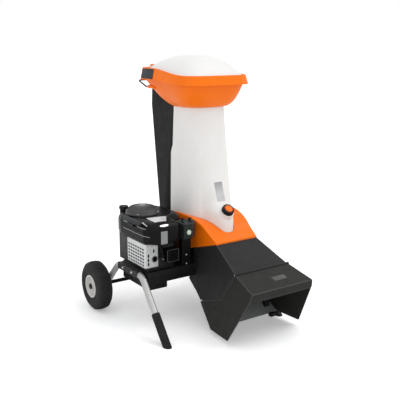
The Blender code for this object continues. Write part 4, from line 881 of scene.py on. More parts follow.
def even_turns(count, half_x=RIM_HALF_X, half_y=RIM_HALF_Y):
    # Angles that space the points of a superellipse evenly along it, so that its corners stay smooth.
    fine = [math.tau * i / 4000 for i in range(4001)]
    spots = [superellipse(t, half_x, half_y, RIM_POWER) for t in fine]
    run = [0.0]
    for a, b in zip(spots, spots[1:]):
        run.append(run[-1] + math.hypot(b[0] - a[0], b[1] - a[1]))
    angles, k = [], 0
    for goal in (run[-1] * (i + 0.5) / count for i in range(count)):
        while run[k + 1] < goal:
            k += 1
        angles.append(fine[k] + (fine[k + 1] - fine[k]) * (goal - run[k]) / max(run[k + 1] - run[k], 1e-12))
    return angles


print("rim height at the front and rear:", round(rim_top(-0.05), 4), round(rim_top(0.46), 4))

# %% Hopper moulding
WALL_LEVELS = [i / 14 for i in range(15)]
SKIRT = [
    (-0.0035, 0.8), (-0.0033, 0.855), (-0.0026, 0.868), (-0.0015, 0.86), (0.001, 0.68), (0.0036, 0.42),
    (0.0062, 0.2), (0.0084, 0.035), (0.009, 0.01), (0.0102, 0.0), (0.0113, 0.001), (0.012, 0.01),
    (0.0119, 0.06), (0.0106, 0.16), (0.0086, 0.34), (0.0065, 0.55), (0.0044, 0.74), (0.0028, 0.88),
    (0.0018, 0.95), (0.0008, 0.985), (-0.0008, 1.0), (-0.003, 1.0), (-0.0045, 0.985), (-0.0056, 0.94),
    (-0.0066, 0.86), (-0.007, 0.8)]
HANDLE_X, HANDLE_Z, LUG_X = 0.172, 1.163, 0.1008
LID_PIN = [(x, 0.44, 1.268) for x in (-0.12, 0.12)]
sections = [[bowl_point(t, part, 0.0) for part in WALL_LEVELS] + [rim_point(t, *spot) for spot in SKIRT]
            + [bowl_point(t, part, 0.0032) for part in reversed(WALL_LEVELS)] for t in even_turns(200)]
hopper = skin("hopper_moulding", sections, joined=True, angle=40)
fuse(hopper, *[rod("socket", (x, 0.3, HANDLE_Z), (x, 0.372, HANDLE_Z), 0.009, 32, 0.001)
               for x in (-HANDLE_X, HANDLE_X)],
     *[block("lid_lug", (x - 0.008, 0.43, 1.225), (x + 0.008, 0.462, 1.276), 0.002)
       for x in (-LUG_X, LUG_X)], angle=40)
carve(hopper, *[rod("socket_bore", (x, 0.3497, HANDLE_Z), (x, 0.42, HANDLE_Z), 0.0043)
                for x in (-HANDLE_X, HANDLE_X)],
      rod("lug_bore", *LID_PIN, 0.0033), angle=40)
wear(hopper, HOPPER_ORANGE, "orange", "hopper")
print("hopper faces:", len(hopper.data.polygons))

# %% Grip inserts and tow handle
GRIP_FACE = [(0.0142, 0.125), (0.0128, 0.26), (0.0106, 0.42), (0.0088, 0.56), (0.0066, 0.74), (0.0046, 0.88)]
GRIP_FOOT, GRIP_BACK = [(0.0122, 0.12), (0.0133, 0.108)], [(0.0037, 0.922), (0.0027, 0.925), (0.0046, 0.74),
                                                          (0.0069, 0.55), (0.009, 0.34)]
for side, first, turn in (("left", math.pi, -1.0), ("right", 0.0, 1.0)):
    rings = []
    for i in range(49):
        t = first + turn * (0.03 + 0.44 * i / 48)
        swell = 0.0004 * (0.5 + 0.5 * math.cos(i * math.tau / 4)) if 4 < i < 44 else 0.0
        face = [(out - swell, share) for out, share in GRIP_FACE]
        rings.append([rim_point(t, out, share) for out, share in GRIP_FOOT + face + GRIP_BACK])
    wear(skin("grip_insert_" + side + "_ribbed", rings, angle=50), GRIP_DARK, "grip_grey",
         "grip_insert_" + side)

half_route = [Vector((-HANDLE_X, 0.35, HANDLE_Z)), Vector((-HANDLE_X, 0.4, HANDLE_Z)),
              Vector((-0.168, 0.488, 1.192))]
route = bent(half_route + [Vector((-p.x, p.y, p.z)) for p in reversed(half_route)], 0.02, 10)
wear(along("tow_handle_wire", route, 0.004, 20), SOOT_BLACK, "black_steel", "tow_handle")
print("grips and handle are on")

# %% [markdown]
# Lid. It is a thin dome of the pale plastic, seated inside the rim and hinged at the rear. Near its
# middle it is round, and near its edge it takes the rim's rectangular outline, so the power of the
# superellipse grows from the peak to the edge.

# %% Lid dome
LID_Y, LID_TOP_Z, LID_HALF_X, LID_HALF_Y = 0.1925, 1.326, 0.1895, 0.229
LID_TURNS = even_turns(144, LID_HALF_X, LID_HALF_Y)


def lid_ring(share, thin, on_edge=None):
    points = []
    for t in LID_TURNS:
        x, y = superellipse(t, LID_HALF_X - thin, LID_HALF_Y - thin, 2.3 + 2.2 * share ** 2)
        y += LID_Y
        edge = rim_top(y) - 0.008
        z = edge + (LID_TOP_Z - thin - edge) * (1 - share ** 2.8)
        y = LID_Y + (y - LID_Y) * share
        points.append((x * share, y, z if on_edge is None else rim_top(y) + on_edge))
    return points


shares = [0.06, 0.12, 0.2, 0.28, 0.36, 0.44, 0.52, 0.6, 0.67, 0.74, 0.8, 0.85, 0.9, 0.94, 0.97, 0.985, 0.995]
rings = [lid_ring(share, 0.0) for share in shares] + [lid_ring(1.0, 0.0003, -0.0084)]
rings += [lid_ring(1.0, thin, -0.0078) for thin in (0.0004, 0.0026)]
rings += [lid_ring(share, 0.003) for share in reversed(shares)]
lid = skin("lid_dome", rings, peaks=[(0.0, LID_Y, LID_TOP_Z - down) for down in (0.0002, 0.0032)], angle=45)
fuse(lid, *[block("lid_tab", (x - 0.01, 0.405, 1.2575), (x + 0.01, 0.447, 1.276), 0.002)
            for x in (-0.08, 0.08)], angle=45)
carve(lid, rod("lid_bore", *LID_PIN, 0.0033), angle=45)
wear(lid, LID_WHITE, "white", "lid")
dress("lid_hinge_pin", BRIGHT_STEEL)
print("lid faces:", len(lid.data.polygons))

# %% [markdown]
# Tower. The pale feed tower is one moulding, oval in plan, that narrows upwards. Its front flows out
# into a toe with a round boss for the locking knob. The same rule that draws the CAD solid draws this
# finer one, with its levels eased through the CAD heights so that no band shows.

# %% Rules for the tower's shape
TOWER_HALF = [(0.53, 0.147), (TOWER_TOP_Z, 0.121)]
TOWER_MIDDLE = [(0.53, 0.14), (TOWER_TOP_Z, 0.155)]
TOWER_FRONT = [(0.445, -0.034), (0.8, 0.005), (0.93, 0.022), (TOWER_TOP_Z, 0.034)]
TOWER_TOE = [(0.5, -0.12), (0.545, -0.11), (0.57, -0.085), (0.6, -0.055), (0.65, -0.035), (0.72, -0.012),
             (0.8, 0.005), (0.93, 0.022), (TOWER_TOP_Z, 0.034)]
TOWER_REAR = [(0.445, 0.212), (0.5, 0.2125), (0.83, 0.235), (0.87, 0.21), (TOWER_TOP_Z, 0.21)]
TOE_HALF, TOE_TOP_Z, TOWER_POWER, TOWER_DEEP, REAR_GAP = 0.092, 0.8, 2.5, 0.18, 0.0004


def flowing(table, value):
    # The table's points joined by a smooth curve that never overshoots them.
    if value <= table[0][0]:
        return table[0][1]
    if value >= table[-1][0]:
        return table[-1][1]
    slopes = [(v - u) / (b - a) for (a, u), (b, v) in zip(table, table[1:])]

    def slope(i):
        one, two = slopes[max(i - 1, 0)], slopes[min(i, len(slopes) - 1)]
        if i in (0, len(slopes)):
            return two
        return 0.0 if one * two <= 0 else 2 * one * two / (one + two)

    k = next(i for i in range(len(slopes)) if value <= table[i + 1][0])
    (a, u), (b, v) = table[k], table[k + 1]
    h = b - a
    t = (value - a) / h
    return ((2 * t ** 3 - 3 * t ** 2 + 1) * u + (t ** 3 - 2 * t ** 2 + t) * h * slope(k)
            + (-2 * t ** 3 + 3 * t ** 2) * v + (t ** 3 - t ** 2) * h * slope(k + 1))


def oval(share):
    return max(0.0, 1 - abs(share) ** TOWER_POWER) ** (1 / TOWER_POWER)


def tower_line(z, thin):
    half = between(TOWER_HALF, z) - thin
    middle = between(TOWER_MIDDLE, z)
    front = flowing(TOWER_FRONT, z)
    toe = max(0.0, front - flowing(TOWER_TOE, z)) if z < TOE_TOP_Z else 0.0
    rear = between(TOWER_REAR, z) - REAR_GAP
    toe_half = min(TOE_HALF - 0.9 * thin, 0.62 * half)
    depths = [middle + (rear - middle) * (1 - i / 9) for i in range(9)]
    sides = [(half * oval((y - middle) / TOWER_DEEP), y) for y in depths]
    across = [half * math.cos(math.radians(t)) ** 0.8
              for t in (0, 4, 8, 12, 17, 22, 27, 32, 37, 42, 47, 51, 55)]
    across += [toe_half + (across[-1] - toe_half) * share for share in (0.66, 0.33)]
    across += [toe_half * (1 - i / 12) for i in range(12)]
    line = [(-x, y) for x, y in sides]
    for x in [-x for x in across] + [0.0] + across[::-1]:
        bump = 0.5 + 0.5 * math.cos(math.pi * min(1.0, abs(x) / toe_half) ** 1.5)
        line.append((x, middle - (middle - front - thin) * oval(x / half) - toe * bump))
    return line + sides[::-1]


LEVEL_STEPS = ((0.445, 0.055, 6, 6), (0.5, 0.22, 44, 44), (0.72, 0.11, 8, 8), (0.83, 0.04, 4, 4),
               (0.87, 0.2, 14, 15))
levels = [low + rise * i / steps for low, rise, steps, count in LEVEL_STEPS for i in range(count)]
rings = [[(x, y, z) for x, y in tower_line(z, 0.0) + tower_line(z, 0.004)[::-1]] for z in levels]
tower = skin("tower_moulding", rings, angle=38)
print("tower sections:", len(levels))

# %% Knob boss, window and small recess in the tower's front
KNOB_SLOPE = math.radians(53)
KNOB_WAY = Vector((0.0, -math.cos(KNOB_SLOPE), math.sin(KNOB_SLOPE)))
KNOB_SEAT = Vector((0.0, -0.095, 0.552)) + KNOB_WAY * 0.008
WINDOW_X, WINDOW_Z = 0.0, 0.649
fuse(tower, rod("knob_boss", KNOB_SEAT - KNOB_WAY * 0.024, KNOB_SEAT, 0.0365, 64, 0.0012))
carve(tower, rod("knob_recess", KNOB_SEAT, KNOB_SEAT + KNOB_WAY * 0.04, 0.034, 64),
      rod("knob_bore", KNOB_SEAT - KNOB_WAY * 0.06, KNOB_SEAT + KNOB_WAY * 0.01, 0.0063, 32))


def tower_front(x, z):
    # The y of the tower's outer skin at a place on its front.
    spots = sorted(p for p in tower_line(z, 0.0) if p[1] < between(TOWER_MIDDLE, z))
    for (a, u), (b, v) in zip(spots, spots[1:]):
        if a <= x <= b:
            return u + (v - u) * (x - a) / max(b - a, 1e-9)
    return spots[0][1]


def front_plate(name, wide, tall, corner, thick, sunk):
    # The window's plate, with round corners, follows the tower's front. Its face is sunk by some depth.
    corners = ((1, 1, 0), (-1, 1, 90), (-1, -1, 180), (1, -1, 270))
    turns = [(cx, cz, math.radians(first + 15 * i)) for cx, cz, first in corners for i in range(7)]
    outline = [(cx * (wide / 2 - corner) + corner * math.cos(t),
                cz * (tall / 2 - corner) + corner * math.sin(t))
               for cx, cz, t in turns]

    def ring(k, deep):
        spots = [(WINDOW_X + a * k, WINDOW_Z + b * k) for a, b in outline]
        return [(x, tower_front(x, z) + sunk + deep, z) for x, z in spots]

    edge = [(WINDOW_X + a * (1 - 0.001 / wide), tower_front(WINDOW_X + a, WINDOW_Z + b) + sunk,
             WINDOW_Z + b * (1 - 0.001 / tall)) for a, b in outline]
    rings = [ring(k, thick) for k in (0.25, 0.5, 0.75, 1.0)] + [ring(1.0, 0.0005), edge]
    middle = tower_front(WINDOW_X, WINDOW_Z) + sunk
    return skin(name, rings + [ring(k, 0.0) for k in (0.75, 0.5, 0.25)],
                peaks=((WINDOW_X, middle + thick, WINDOW_Z), (WINDOW_X, middle, WINDOW_Z)), angle=40)


carve(tower, front_plate("window_bed", 0.0495, 0.0945, 0.0048, 0.006, -0.005))
fuse(tower, front_plate("window_floor", 0.05, 0.095, 0.005, 0.0022, 0.0011))
wear(front_plate("window_plate", 0.0488, 0.0938, 0.0044, 0.0007, 0.0002), WINDOW_GREY, "white",
     body="tower_body")
wear(tower, TOWER_WHITE, "white", "tower_shell")
print("tower faces:", len(tower.data.polygons))

# %% Locking knob
KNOB = mm((0, 21.5), (21.5, 21.5), (21.6, 22.2), (22.2, 22.8), (27.6, 22.9), (29, 22.4), (30.2, 21.2),
          (30.8, 19.5), (31.9, 4.5), (31.6, 2), (30.4, 0.6), (29, 0.3), (6, 0.3), (6, -44.5), (5.5, -45), (0, -45))
knob = turned("locking_knob_turned", KNOB, KNOB_SEAT, KNOB_WAY, 96)
place = aim(KNOB_SEAT, KNOB_WAY)
for t in (math.tau * (i + 0.5) / 12 for i in range(12)):
    foot, head = (place @ Vector((r * math.cos(t), r * math.sin(t), h))
                  for r, h in ((0.0352, 0.0018), (0.0338, 0.03)))
    carve(knob, rod("finger_dip", foot, head, 0.005, 20), angle=SHARP)
wear(knob, KNOB_DARK, "dark_plastic", "locking_knob")
cap = turned("knob_cap_domed", mm((0, 26.9), (6, 26.8), (11, 26.5), (15, 25.8), (18.2, 24.7), (20, 23.4),
                                  (20.8, 22.2), (21, 21.8), (0, 21.8)), KNOB_SEAT, KNOB_WAY, 64)
wear(cap, COVER_ORANGE, "orange", "knob_cap")
print("knob made")

# %% [markdown]
# Base cover. The orange hood bridges the tower and the chute. Its crease runs down each side, its top
# dips where the tower's toe passes through it, and its foot follows the chute's seam. It is a skin over
# cross sections, made hollow by a smaller one, with room cut out for the tower.

# %% Base cover
COVER = [(-0.184, 0.126, 0.431), (-0.134, 0.131, 0.461), (-0.08, 0.138, 0.498), (-0.03, 0.145, 0.518),
         (0.03, 0.151, 0.53), (0.11, 0.155, 0.533), (0.2, 0.155, 0.52), (0.27, 0.15, 0.495)]
COVER_HALF = [(y, half) for y, half, z in COVER]
COVER_CREASE = [(y, z) for y, half, z in COVER]
COVER_FOOT = [(-0.184, 0.0), (0.0, 0.0), (0.03, 0.006), (0.11, 0.035), (0.2, 0.049), (0.27, 0.051)]
CREASE_TURN = 0.006


def chute_half(y, z):
    return 0.1966 - 0.0742 * y - 0.1984 * z


def seam_z(y):
    return 0.424 - 0.32 * (y + 0.182)


def cover_ring(y, thin, lower):
    half = flowing(COVER_HALF, y) - thin
    crease = flowing(COVER_CREASE, y) - thin
    foot_z = max(seam_z(y) + 0.0005, 0.303)
    foot = chute_half(y, foot_z) + flowing(COVER_FOOT, y) - thin
    dip = 0.013 * smooth(-0.184, -0.12, y)
    lean = (half - foot) / (crease - foot_z)
    side = [(foot - lean * lower, foot_z - lower)]
    side += [(foot + (half - foot) * k, foot_z + (crease - foot_z) * k) for k in (0.2, 0.4, 0.6, 0.8)]
    corner_z = crease - CREASE_TURN
    side = [(x, min(z, corner_z - 0.0005 * (5 - i))) for i, (x, z) in enumerate(side)]
    for t in (math.radians(15 * i) for i in range(7)):
        side.append((half - CREASE_TURN * (1 - math.cos(t)), corner_z + CREASE_TURN * math.sin(t)))
    for part in (0.92 - 0.84 * i / 11 for i in range(12)):
        side.append(((half - CREASE_TURN) * part, crease - dip * (1 - part * part)))
    return [(x, y, z) for x, z in side] + [(-x, y, z) for x, z in reversed(side)]


def spread(low, high, count):
    return [low + (high - low) * i / (count - 1) for i in range(count)]


cover = skin("base_cover_moulding", [cover_ring(y, 0.0, 0.0) for y in spread(-0.184, 0.27, 64)], angle=38)
inside = [cover_ring(y, 0.0035, 0.06) for y in [-0.1775] + spread(-0.155, 0.27, 30)[:-1] + [0.3]]
room = []
for z in spread(0.43, 0.62, 60):
    line = tower_line(z, -0.0035)
    room.append([(x, y, z) for x, y in line + [(line[-1][0], 0.4), (line[0][0], 0.4)]])
carve(cover, skin("inside_cover", inside), skin("room_for_tower", room))
wear(cover, COVER_ORANGE, "orange", "base_cover")
print("cover faces:", len(cover.data.polygons))

# %% Spine and its hinge
dress("tower_spine", SPINE_DARK, 0.0045, 40, 3)
dress("tower_hinge_pin", BRIGHT_STEEL, 0.0008)
dress("tower_hinge_bracket", BLACK_COAT, 0.0015)
spine_screws = [(Vector((out * (0.118 + (TOWER_TOP_Z - z) * 0.04074), 0.262 + (z - 0.6) * 0.05, z)),
                 Vector((out, 0.0, 0.0408)).normalized()) for z in (0.6, 0.8, 1.0) for out in SIDES]
fix("spine_screws", PAN_SCREW, spine_screws, BLACK_COAT, "black_steel", 1.1, "tower_body")
print("spine screws:", len(spine_screws))

# %% [markdown]
# Outlet chute. A fixed housing and a folding flap, both moulded in dark plastic with walls that flare
# towards the mouth. They follow the same outlines as the CAD parts, with rounder edges, a turned rear
# band on the flap's walls and a stiffening bead on the housing's. The rounded edges carry a painted
# highlight: the rounding step gives their faces a paler finish of their own, for the light that they catch.

# %% Outlines that flare across the chute
def inset(outline, distances):
    # Each edge moved in by its own distance, or out where that is below zero.
    spots = [Vector(p) for p in outline]
    ends = spots[1:] + spots[:1]
    area = sum(p.x * q.y - q.x * p.y for p, q in zip(spots, ends))
    lines = []
    for start, end, distance in zip(spots, ends, distances):
        way = (end - start).normalized()
        lines.append((start + Vector((-way.y, way.x)) * distance * math.copysign(1.0, area), way))
    points = []
    for (p, d), (q, e) in zip(lines[-1:] + lines, lines):
        t = ((q.x - p.x) * e.y - (q.y - p.y) * e.x) / (d.x * e.y - d.y * e.x)
        points.append((p.x + d.x * t, p.y + d.y * t))
    return points


def flared(name, outline, extra):
    return skin(name, [[(out * (chute_half(y, z) + extra), y, z) for y, z in outline] for out in SIDES])


def circle(y, z, radius, sides=32):
    turns = [math.tau * i / sides for i in range(sides)]
    return [(y + radius * math.cos(t), z + radius * math.sin(t)) for t in turns]


def highlighted_edges(thing, look, highlight_look):
    # The rounding step paints its own faces with the paler finish, a painted highlight on the edges.
    thing.data.materials.append(look)
    thing.data.materials.append(highlight_look)
    return rounded_edges(thing, 0.0045, 4, 30, material=1)


def even(thing):
    # Large flat faces keep a flat shade beside small rounded ones.
    return live_step(thing, "WEIGHTED_NORMAL", keep_sharp=True)


FOLD, LIP, FOLD_MIDDLE, FOLD_END = (-0.383, 0.334), (-0.539, 0.29), (-0.306, 0.2), (-0.122, 0.128)
CHUTE_REAR, CHUTE_WALL, SIDE_WALL, FLAP_OUT, GROOVE, KNUCKLE = 0.02, 0.0035, 0.003578, 0.0006, 0.002, 0.0056
PIN_BORE, OPEN = 0.0028, -0.05
FIXED = [(-0.182, 0.424), FOLD, FOLD_MIDDLE, FOLD_END, (-0.067, 0.16), (0.0, 0.19),
         (CHUTE_REAR, 0.2), (CHUTE_REAR, seam_z(CHUTE_REAR))]
FOLDING = [FOLD, LIP, (-0.53, 0.254), (-0.41, 0.029), (-0.2555, 0.0295), FOLD_END, FOLD_MIDDLE]
print("chute outlines:", len(FIXED), "and", len(FOLDING), "corners")

# %% Fixed housing
housing = flared("chute_housing_moulding", inset(FIXED, (0, GROOVE, GROOVE, 0, 0, 0, 0, 0)), 0.0)
highlighted_edges(housing, CHUTE_GREY, CHUTE_EDGE_HIGHLIGHT)
fuse(housing, flared("housing_knuckle", circle(*FOLD, KNUCKLE), -0.00002))
for out in SIDES:
    bead = [(-0.019, 0.302), (-0.03, 0.285), (-0.062, 0.213), (-0.094, 0.158)]
    path = bent([(out * (chute_half(y, z) - 0.0009), y, z) for y, z in bead], 0.02, 4)
    fuse(housing, along("side_bead", path, 0.003, 16))
carve(housing, flared("inside_chute", inset(FIXED, (CHUTE_WALL, OPEN, OPEN) + (CHUTE_WALL,) * 5), -SIDE_WALL),
      rod("bore_fold", (-0.25, *FOLD), (0.25, *FOLD), PIN_BORE, 24),
      block("chute_window", (-0.08, -0.01, 0.304), (0.08, 0.03, 0.345)))


def groove_band(half, first, last):
    # A band along the groove between housing and flap, in the plane of the side wall.
    start, middle, end = Vector(FOLD), Vector(FOLD_MIDDLE), Vector(FOLD_END)
    one, two = (middle - start).normalized(), (end - middle).normalized()
    line = [(start.lerp(middle, first), one), (middle, (one + two).normalized()),
            (middle.lerp(end, last), two)]
    near, far = ([tuple(p + Vector((-way.y, way.x)) * out) for p, way in line] for out in (half, -half))
    return near + far[::-1]


lining = flared("groove_lining", groove_band(0.006, 0.08, 0.93), 0.0003 - SIDE_WALL)
carve(lining, flared("lining_room", groove_band(0.008, 0.05, 0.96), -SIDE_WALL - 0.0014))
fuse(housing, lining)
even(wear(housing, None, "dark_plastic", "chute_housing"))
print("housing faces:", len(housing.data.polygons))

# %% Folding flap
FLAP_SIDE = FLAP_OUT + SIDE_WALL
outline = inset(FOLDING, (0, 0, 0, 0, 0, GROOVE, GROOVE))
flap = flared("chute_flap_moulding", cornered(outline, (0, 0, 0.004, 0.011, 0.008, 0.004, 0.004)), FLAP_SIDE)
highlighted_edges(flap, FLAP_GREY, FLAP_EDGE_HIGHLIGHT)
fuse(flap, flared("flap_knuckle", circle(*FOLD, KNUCKLE), FLAP_SIDE + 0.002))
rear, line = FOLDING[4:6], inset(FOLDING, (0, 0, 0, 0, 0.036, 0, 0))[4:6]
for out in SIDES:
    rings = []
    for (ly, lz), (ry, rz), (oy, oz) in zip(line, rear, rear[::-1]):
        # Both lines of the band run on past the wall's ends, by the wall's own length.
        wy, wz = ry - oy, rz - oz
        front, back = (ly + wy, lz + wz), (ry + wy, rz + wz)
        face, wall = chute_half(*front) + FLAP_OUT + SIDE_WALL, chute_half(*back) + FLAP_OUT + SIDE_WALL
        rings.append([(out * face, *front), (out * (wall - 0.0026), *back), (out * (wall + 0.02), *back)])
    carve(flap, skin("turned_band", rings))
knuckle_x = chute_half(*FOLD) + KNUCKLE * math.hypot(0.0742, 0.1984) + 0.0005
inside = inset(FOLDING, (CHUTE_WALL, CHUTE_WALL, OPEN, OPEN, CHUTE_WALL, OPEN, OPEN))
carve(flap, flared("inside_flap", inside, FLAP_OUT),
      rod("inside_knuckle", (-knuckle_x, *FOLD), (knuckle_x, *FOLD), KNUCKLE + 0.0006, 32),
      rod("bore_flap", (-0.25, *FOLD), (0.25, *FOLD), PIN_BORE, 24), angle=30)
even(wear(flap, None, "dark_plastic", "chute_flap"))
print("flap faces:", len(flap.data.polygons))

# %% [markdown]
# Small parts of the chute: the hinge pin with its rounded heads, a bare label plate on the flap's top,
# two screws beside it, the pale wear plate that turns the chips down inside the mouth, and the small
# catch at that plate's end. The wear plate is a bent sheet laid on the flap's sloping rear wall.

# %% Pin, label plate, wear plate and catch
dress("flap_hinge_pin", BRIGHT_STEEL, 0.0006)
ROOF_WAY = Vector((0.0, LIP[1] - FOLD[1], FOLD[0] - LIP[0])).normalized()


def on_roof(x, y, up=0.0):
    t = (y - FOLD[0]) / (LIP[0] - FOLD[0])
    return Vector((x, y, FOLD[1] + (LIP[1] - FOLD[1]) * t)) + ROOF_WAY * up


def label_ring(shrink, up):
    low_x, high_x, low_y, high_y = -0.006 + shrink, 0.07 - shrink, -0.485 + shrink, -0.455 - shrink
    corners = [(low_x, low_y), (high_x, low_y), (high_x, high_y), (low_x, high_y)]
    return [on_roof(x, y, up) for x, y in cornered(corners, (0.003,) * 4, 5)]


label_rings = [label_ring(*spot) for spot in ((0.0, -0.0002), (0.0, 0.0006), (0.0005, 0.0009))]
label = skin("chute_label_plate", label_rings, angle=50)
wear(label, LABEL_GREY, "dark_plastic", body="flap_body")
fix("chute_roof_screws", PAN_SCREW, facing(ROOF_WAY, on_roof(0.134, -0.432), on_roof(0.16, -0.432)),
    BLACK_COAT,
    "black_steel", 1.15, "flap_body")
walls = [inset(FOLDING, (CHUTE_WALL, CHUTE_WALL, 0, 0, CHUTE_WALL + up, 0, 0))[4:6]
         for up in (0.0003, 0.0019)]
under, over = ([tuple(Vector(a).lerp(Vector(b), t)) for t in (0.02, 0.93)] for a, b in walls)
wear_plate = rounded_edges(flared("chute_wear_plate", under + over[::-1], -0.0012), 0.0005, 2)
wear(wear_plate, WEAR_SHEET, "alloy", body="flap_body")
catch = block("chute_catch", (0.15, -0.232, 0.052), (0.18, -0.204, 0.098), 0.003)
fuse(catch, block("catch_foot", (0.156, -0.277, 0.0125), (0.184, -0.252, 0.0335), 0.0025), angle=SHARP)
wear(catch, KNOB_DARK, "dark_plastic", body="flap_body")
print("chute small parts made")

# %% [markdown]
# Engine shroud. A small vertical-shaft engine hides under one black cowl, which is blow moulded or
# pressed: straight sides, a rolled foot, and a soft quarter-ellipse roll up to a flat top. It is a skin
# over insets of one plan outline, because that is how the tool for it would be cut.

# %% The shroud's outline and its surface
CRANK = Vector((-0.345, 0.115))
SHROUD_LOW, SHROUD_ROLL, SHROUD_TOP, ROLL_IN, ROLL_UP = 0.447, 0.505, 0.552, 0.04, 0.047
SHROUD_FRONT_Y, SHROUD_LEFT_X = -0.1, -0.104
SHROUD = [(CRANK.x + x, y) for x, y in (
    (-0.103, -0.03), (-0.087, -0.075), (-0.051, -0.1), (0.05, -0.1), (0.073, -0.082),
    (0.073, -0.004), (0.14, 0.03), (0.173, 0.075), (0.175, 0.215), (0.155, 0.27),
    (0.11, 0.3), (0.015, 0.306), (-0.055, 0.29), (-0.091, 0.25), (-0.105, 0.2))]
SHROUD_TURNS = (0.05, 0.05, 0.045, 0.032, 0.028, -0.022, 0.05, 0.055, 0.055, 0.045, 0.05, 0.07, 0.045, 0.045,
                0.07)
SHROUD_FOOT = [(0.0045, SHROUD_LOW), (0.0034, 0.4474), (0.0028, 0.4482), (0.0028, 0.4528), (0.0021, 0.454),
               (0.0008, 0.4549), (0.0, 0.4562), (0.0, 0.47), (0.0, 0.488)]


def shroud_line(deep):
    # A negative turn marks the one hollow corner, whose arc grows where the others shrink.
    radii = [max(0.006, turn - deep) if turn > 0 else -turn + deep for turn in SHROUD_TURNS]
    return cornered(inset(SHROUD, (deep,) * len(SHROUD)), radii, 7)


def roll(theta):
    return ROLL_IN * (1 - math.cos(theta)), SHROUD_ROLL + ROLL_UP * math.sin(theta)


sixth = roll(math.radians(60))[0]
levels = SHROUD_FOOT + [roll(math.radians(6 * i)) for i in range(11)]
rings = [[(x, y, z) for x, y in shroud_line(deep)] for deep, z in levels]
last = [Vector(p) for p in rings[-1]]
middle = Vector((CRANK.x + 0.03, 0.11, 0.0))
for deep, z in (roll(math.radians(60 + 30 * i / 7)) for i in range(1, 8)):
    shrink = 1 - (deep - sixth) / 0.125
    rings.append([(middle.x + (p.x - middle.x) * shrink, middle.y + (p.y - middle.y) * shrink, z)
                  for p in last])
shroud = skin("engine_shroud_cowl", rings, angle=38)
fuse(shroud, rod("filler_neck", (-0.402, 0.25, 0.535), (-0.402, 0.25, 0.556), 0.02, 48, 0.0006),
     block("grip_bearer", (-0.4695, 0.03, 0.52), (-0.44, 0.09, 0.5347), 0.003))
even(wear(shroud, ENGINE_PLASTIC, "engine_black", "engine_shroud"))
print("shroud faces:", len(shroud.data.polygons))

# %% Thin plates and strips that follow the shroud
def patch(name, spot, outline, thick, look, slot):
    # A thin plate on a curved face. spot(a, b, up) is a place on the face, raised by up.
    middle = [sum(values) / len(outline) for values in zip(*outline)]

    def ring(share, up):
        return [spot(*(m + (v - m) * share for m, v in zip(middle, p)), up) for p in outline]

    rings = [ring(1.0, -0.0008), ring(1.0, thick * 0.7)] + [ring(s, thick)
                                                            for s in (0.985, 0.8, 0.6, 0.4, 0.2)]
    wear(skin(name, rings, peaks=(spot(*middle, -0.0008), spot(*middle, thick)), angle=50), look, slot)


def top_place(x, y, up):
    # On the shroud's flat top, and on down its front roll.
    if y > SHROUD_FRONT_Y + ROLL_IN:
        return Vector((x, y, SHROUD_TOP + up))
    theta = math.acos(1 - (y - SHROUD_FRONT_Y) / ROLL_IN)
    return Vector((x, y - up * math.cos(theta), roll(theta)[1] + up * math.sin(theta)))


def left_place(y, theta, up):
    deep, z = roll(theta)
    return Vector((CRANK.x + SHROUD_LEFT_X + deep - up * math.cos(theta), y, z + up * math.sin(theta)))


def finer(outline, step):
    made = []
    for a, b in zip(outline, outline[1:] + outline[:1]):
        a, b = Vector(a), Vector(b)
        count = max(1, round((b - a).length / step))
        made += [tuple(a.lerp(b, i / count)) for i in range(count)]
    return made


def strip(name, start, end, low_z, high_z, thick, look, slot, deep=0.0):
    # A band round the shroud's side, from the outline's place nearest start on to that nearest end.
    line = [Vector(p) for p in finer(shroud_line(deep), 0.004)]
    first, last = (min(range(len(line)), key=lambda i: (line[i] - Vector(p)).length) for p in (start, end))
    path = [line[(first + i) % len(line)] for i in range((last - first) % len(line) + 1)]
    rings = []
    for before, spot, after in zip(path[:1] + path, path, path[1:] + path[-1:]):
        way = (after - before).normalized()
        out = Vector((way.y, -way.x))
        near, far = spot - out * 0.0012, spot + out * thick
        rings.append([(*near, low_z), (*far, low_z + 0.0004), (*far, high_z - 0.0004), (*near, high_z)])
    wear(skin(name, rings, angle=40), look, slot)


plate = [(-0.398, -0.056), (-0.337, -0.062), (-0.294, 0.01), (-0.3, 0.018), (-0.388, 0.034), (-0.395, 0.028)]
badge = [(-0.365 + 0.025 * math.cos(t), -0.0885 + 0.0036 * math.sin(t))
         for t in (math.tau * i / 40 for i in range(40))]
bar = [(-0.052, 0.8), (-0.05, 0.7), (-0.01, 0.82), (0.004, 0.86), (0.006, 0.96), (-0.008, 0.96)]
patch("cowl_top_plate", top_place, finer(plate, 0.006), 0.0008, BARE_FOIL, "white")
patch("cowl_oval_badge", top_place, badge, 0.001, BRIGHT_STEEL, "bright_steel")
patch("cowl_side_badge", left_place, bar, 0.001, BRIGHT_STEEL, "bright_steel")
deep, z = roll(math.radians(19))
# The front strip is a painted highlight: a pale band where the cowl's rounded front corner shows a reflection.
strip("cowl_front_strip", (-0.3915, -0.1), (-0.354, -0.1), 0.45, 0.513, 0.0007, GREY_TRIM_AND_HIGHLIGHT, "silver_tube")
strip("cowl_line_upper", (-0.45, 0.165), (-0.447, -0.046), z - 0.0012, z + 0.0012, 0.0009, BRIGHT_STEEL,
      "bright_steel", deep)
strip("cowl_line_lower", (-0.45, 0.165), (-0.436, -0.072), 0.4838, 0.486, 0.0009, BRIGHT_STEEL,
      "bright_steel")
strip("cowl_rib_middle", (-0.45, 0.19), (-0.442, -0.058), 0.4985, 0.5022, 0.0022, ENGINE_PLASTIC,
      "engine_black")
print("shroud trims made")

# %% [markdown]
# Recoil starter. Its cover is a low dome with a ring of ribs that let the cooling air in, and a bolt at
# each of four ears. One rib is drawn against the dome's own section and the ring tree repeats it. The
# grip is a dark bar at the shroud's left edge, with a short bright ferrule for the cord.

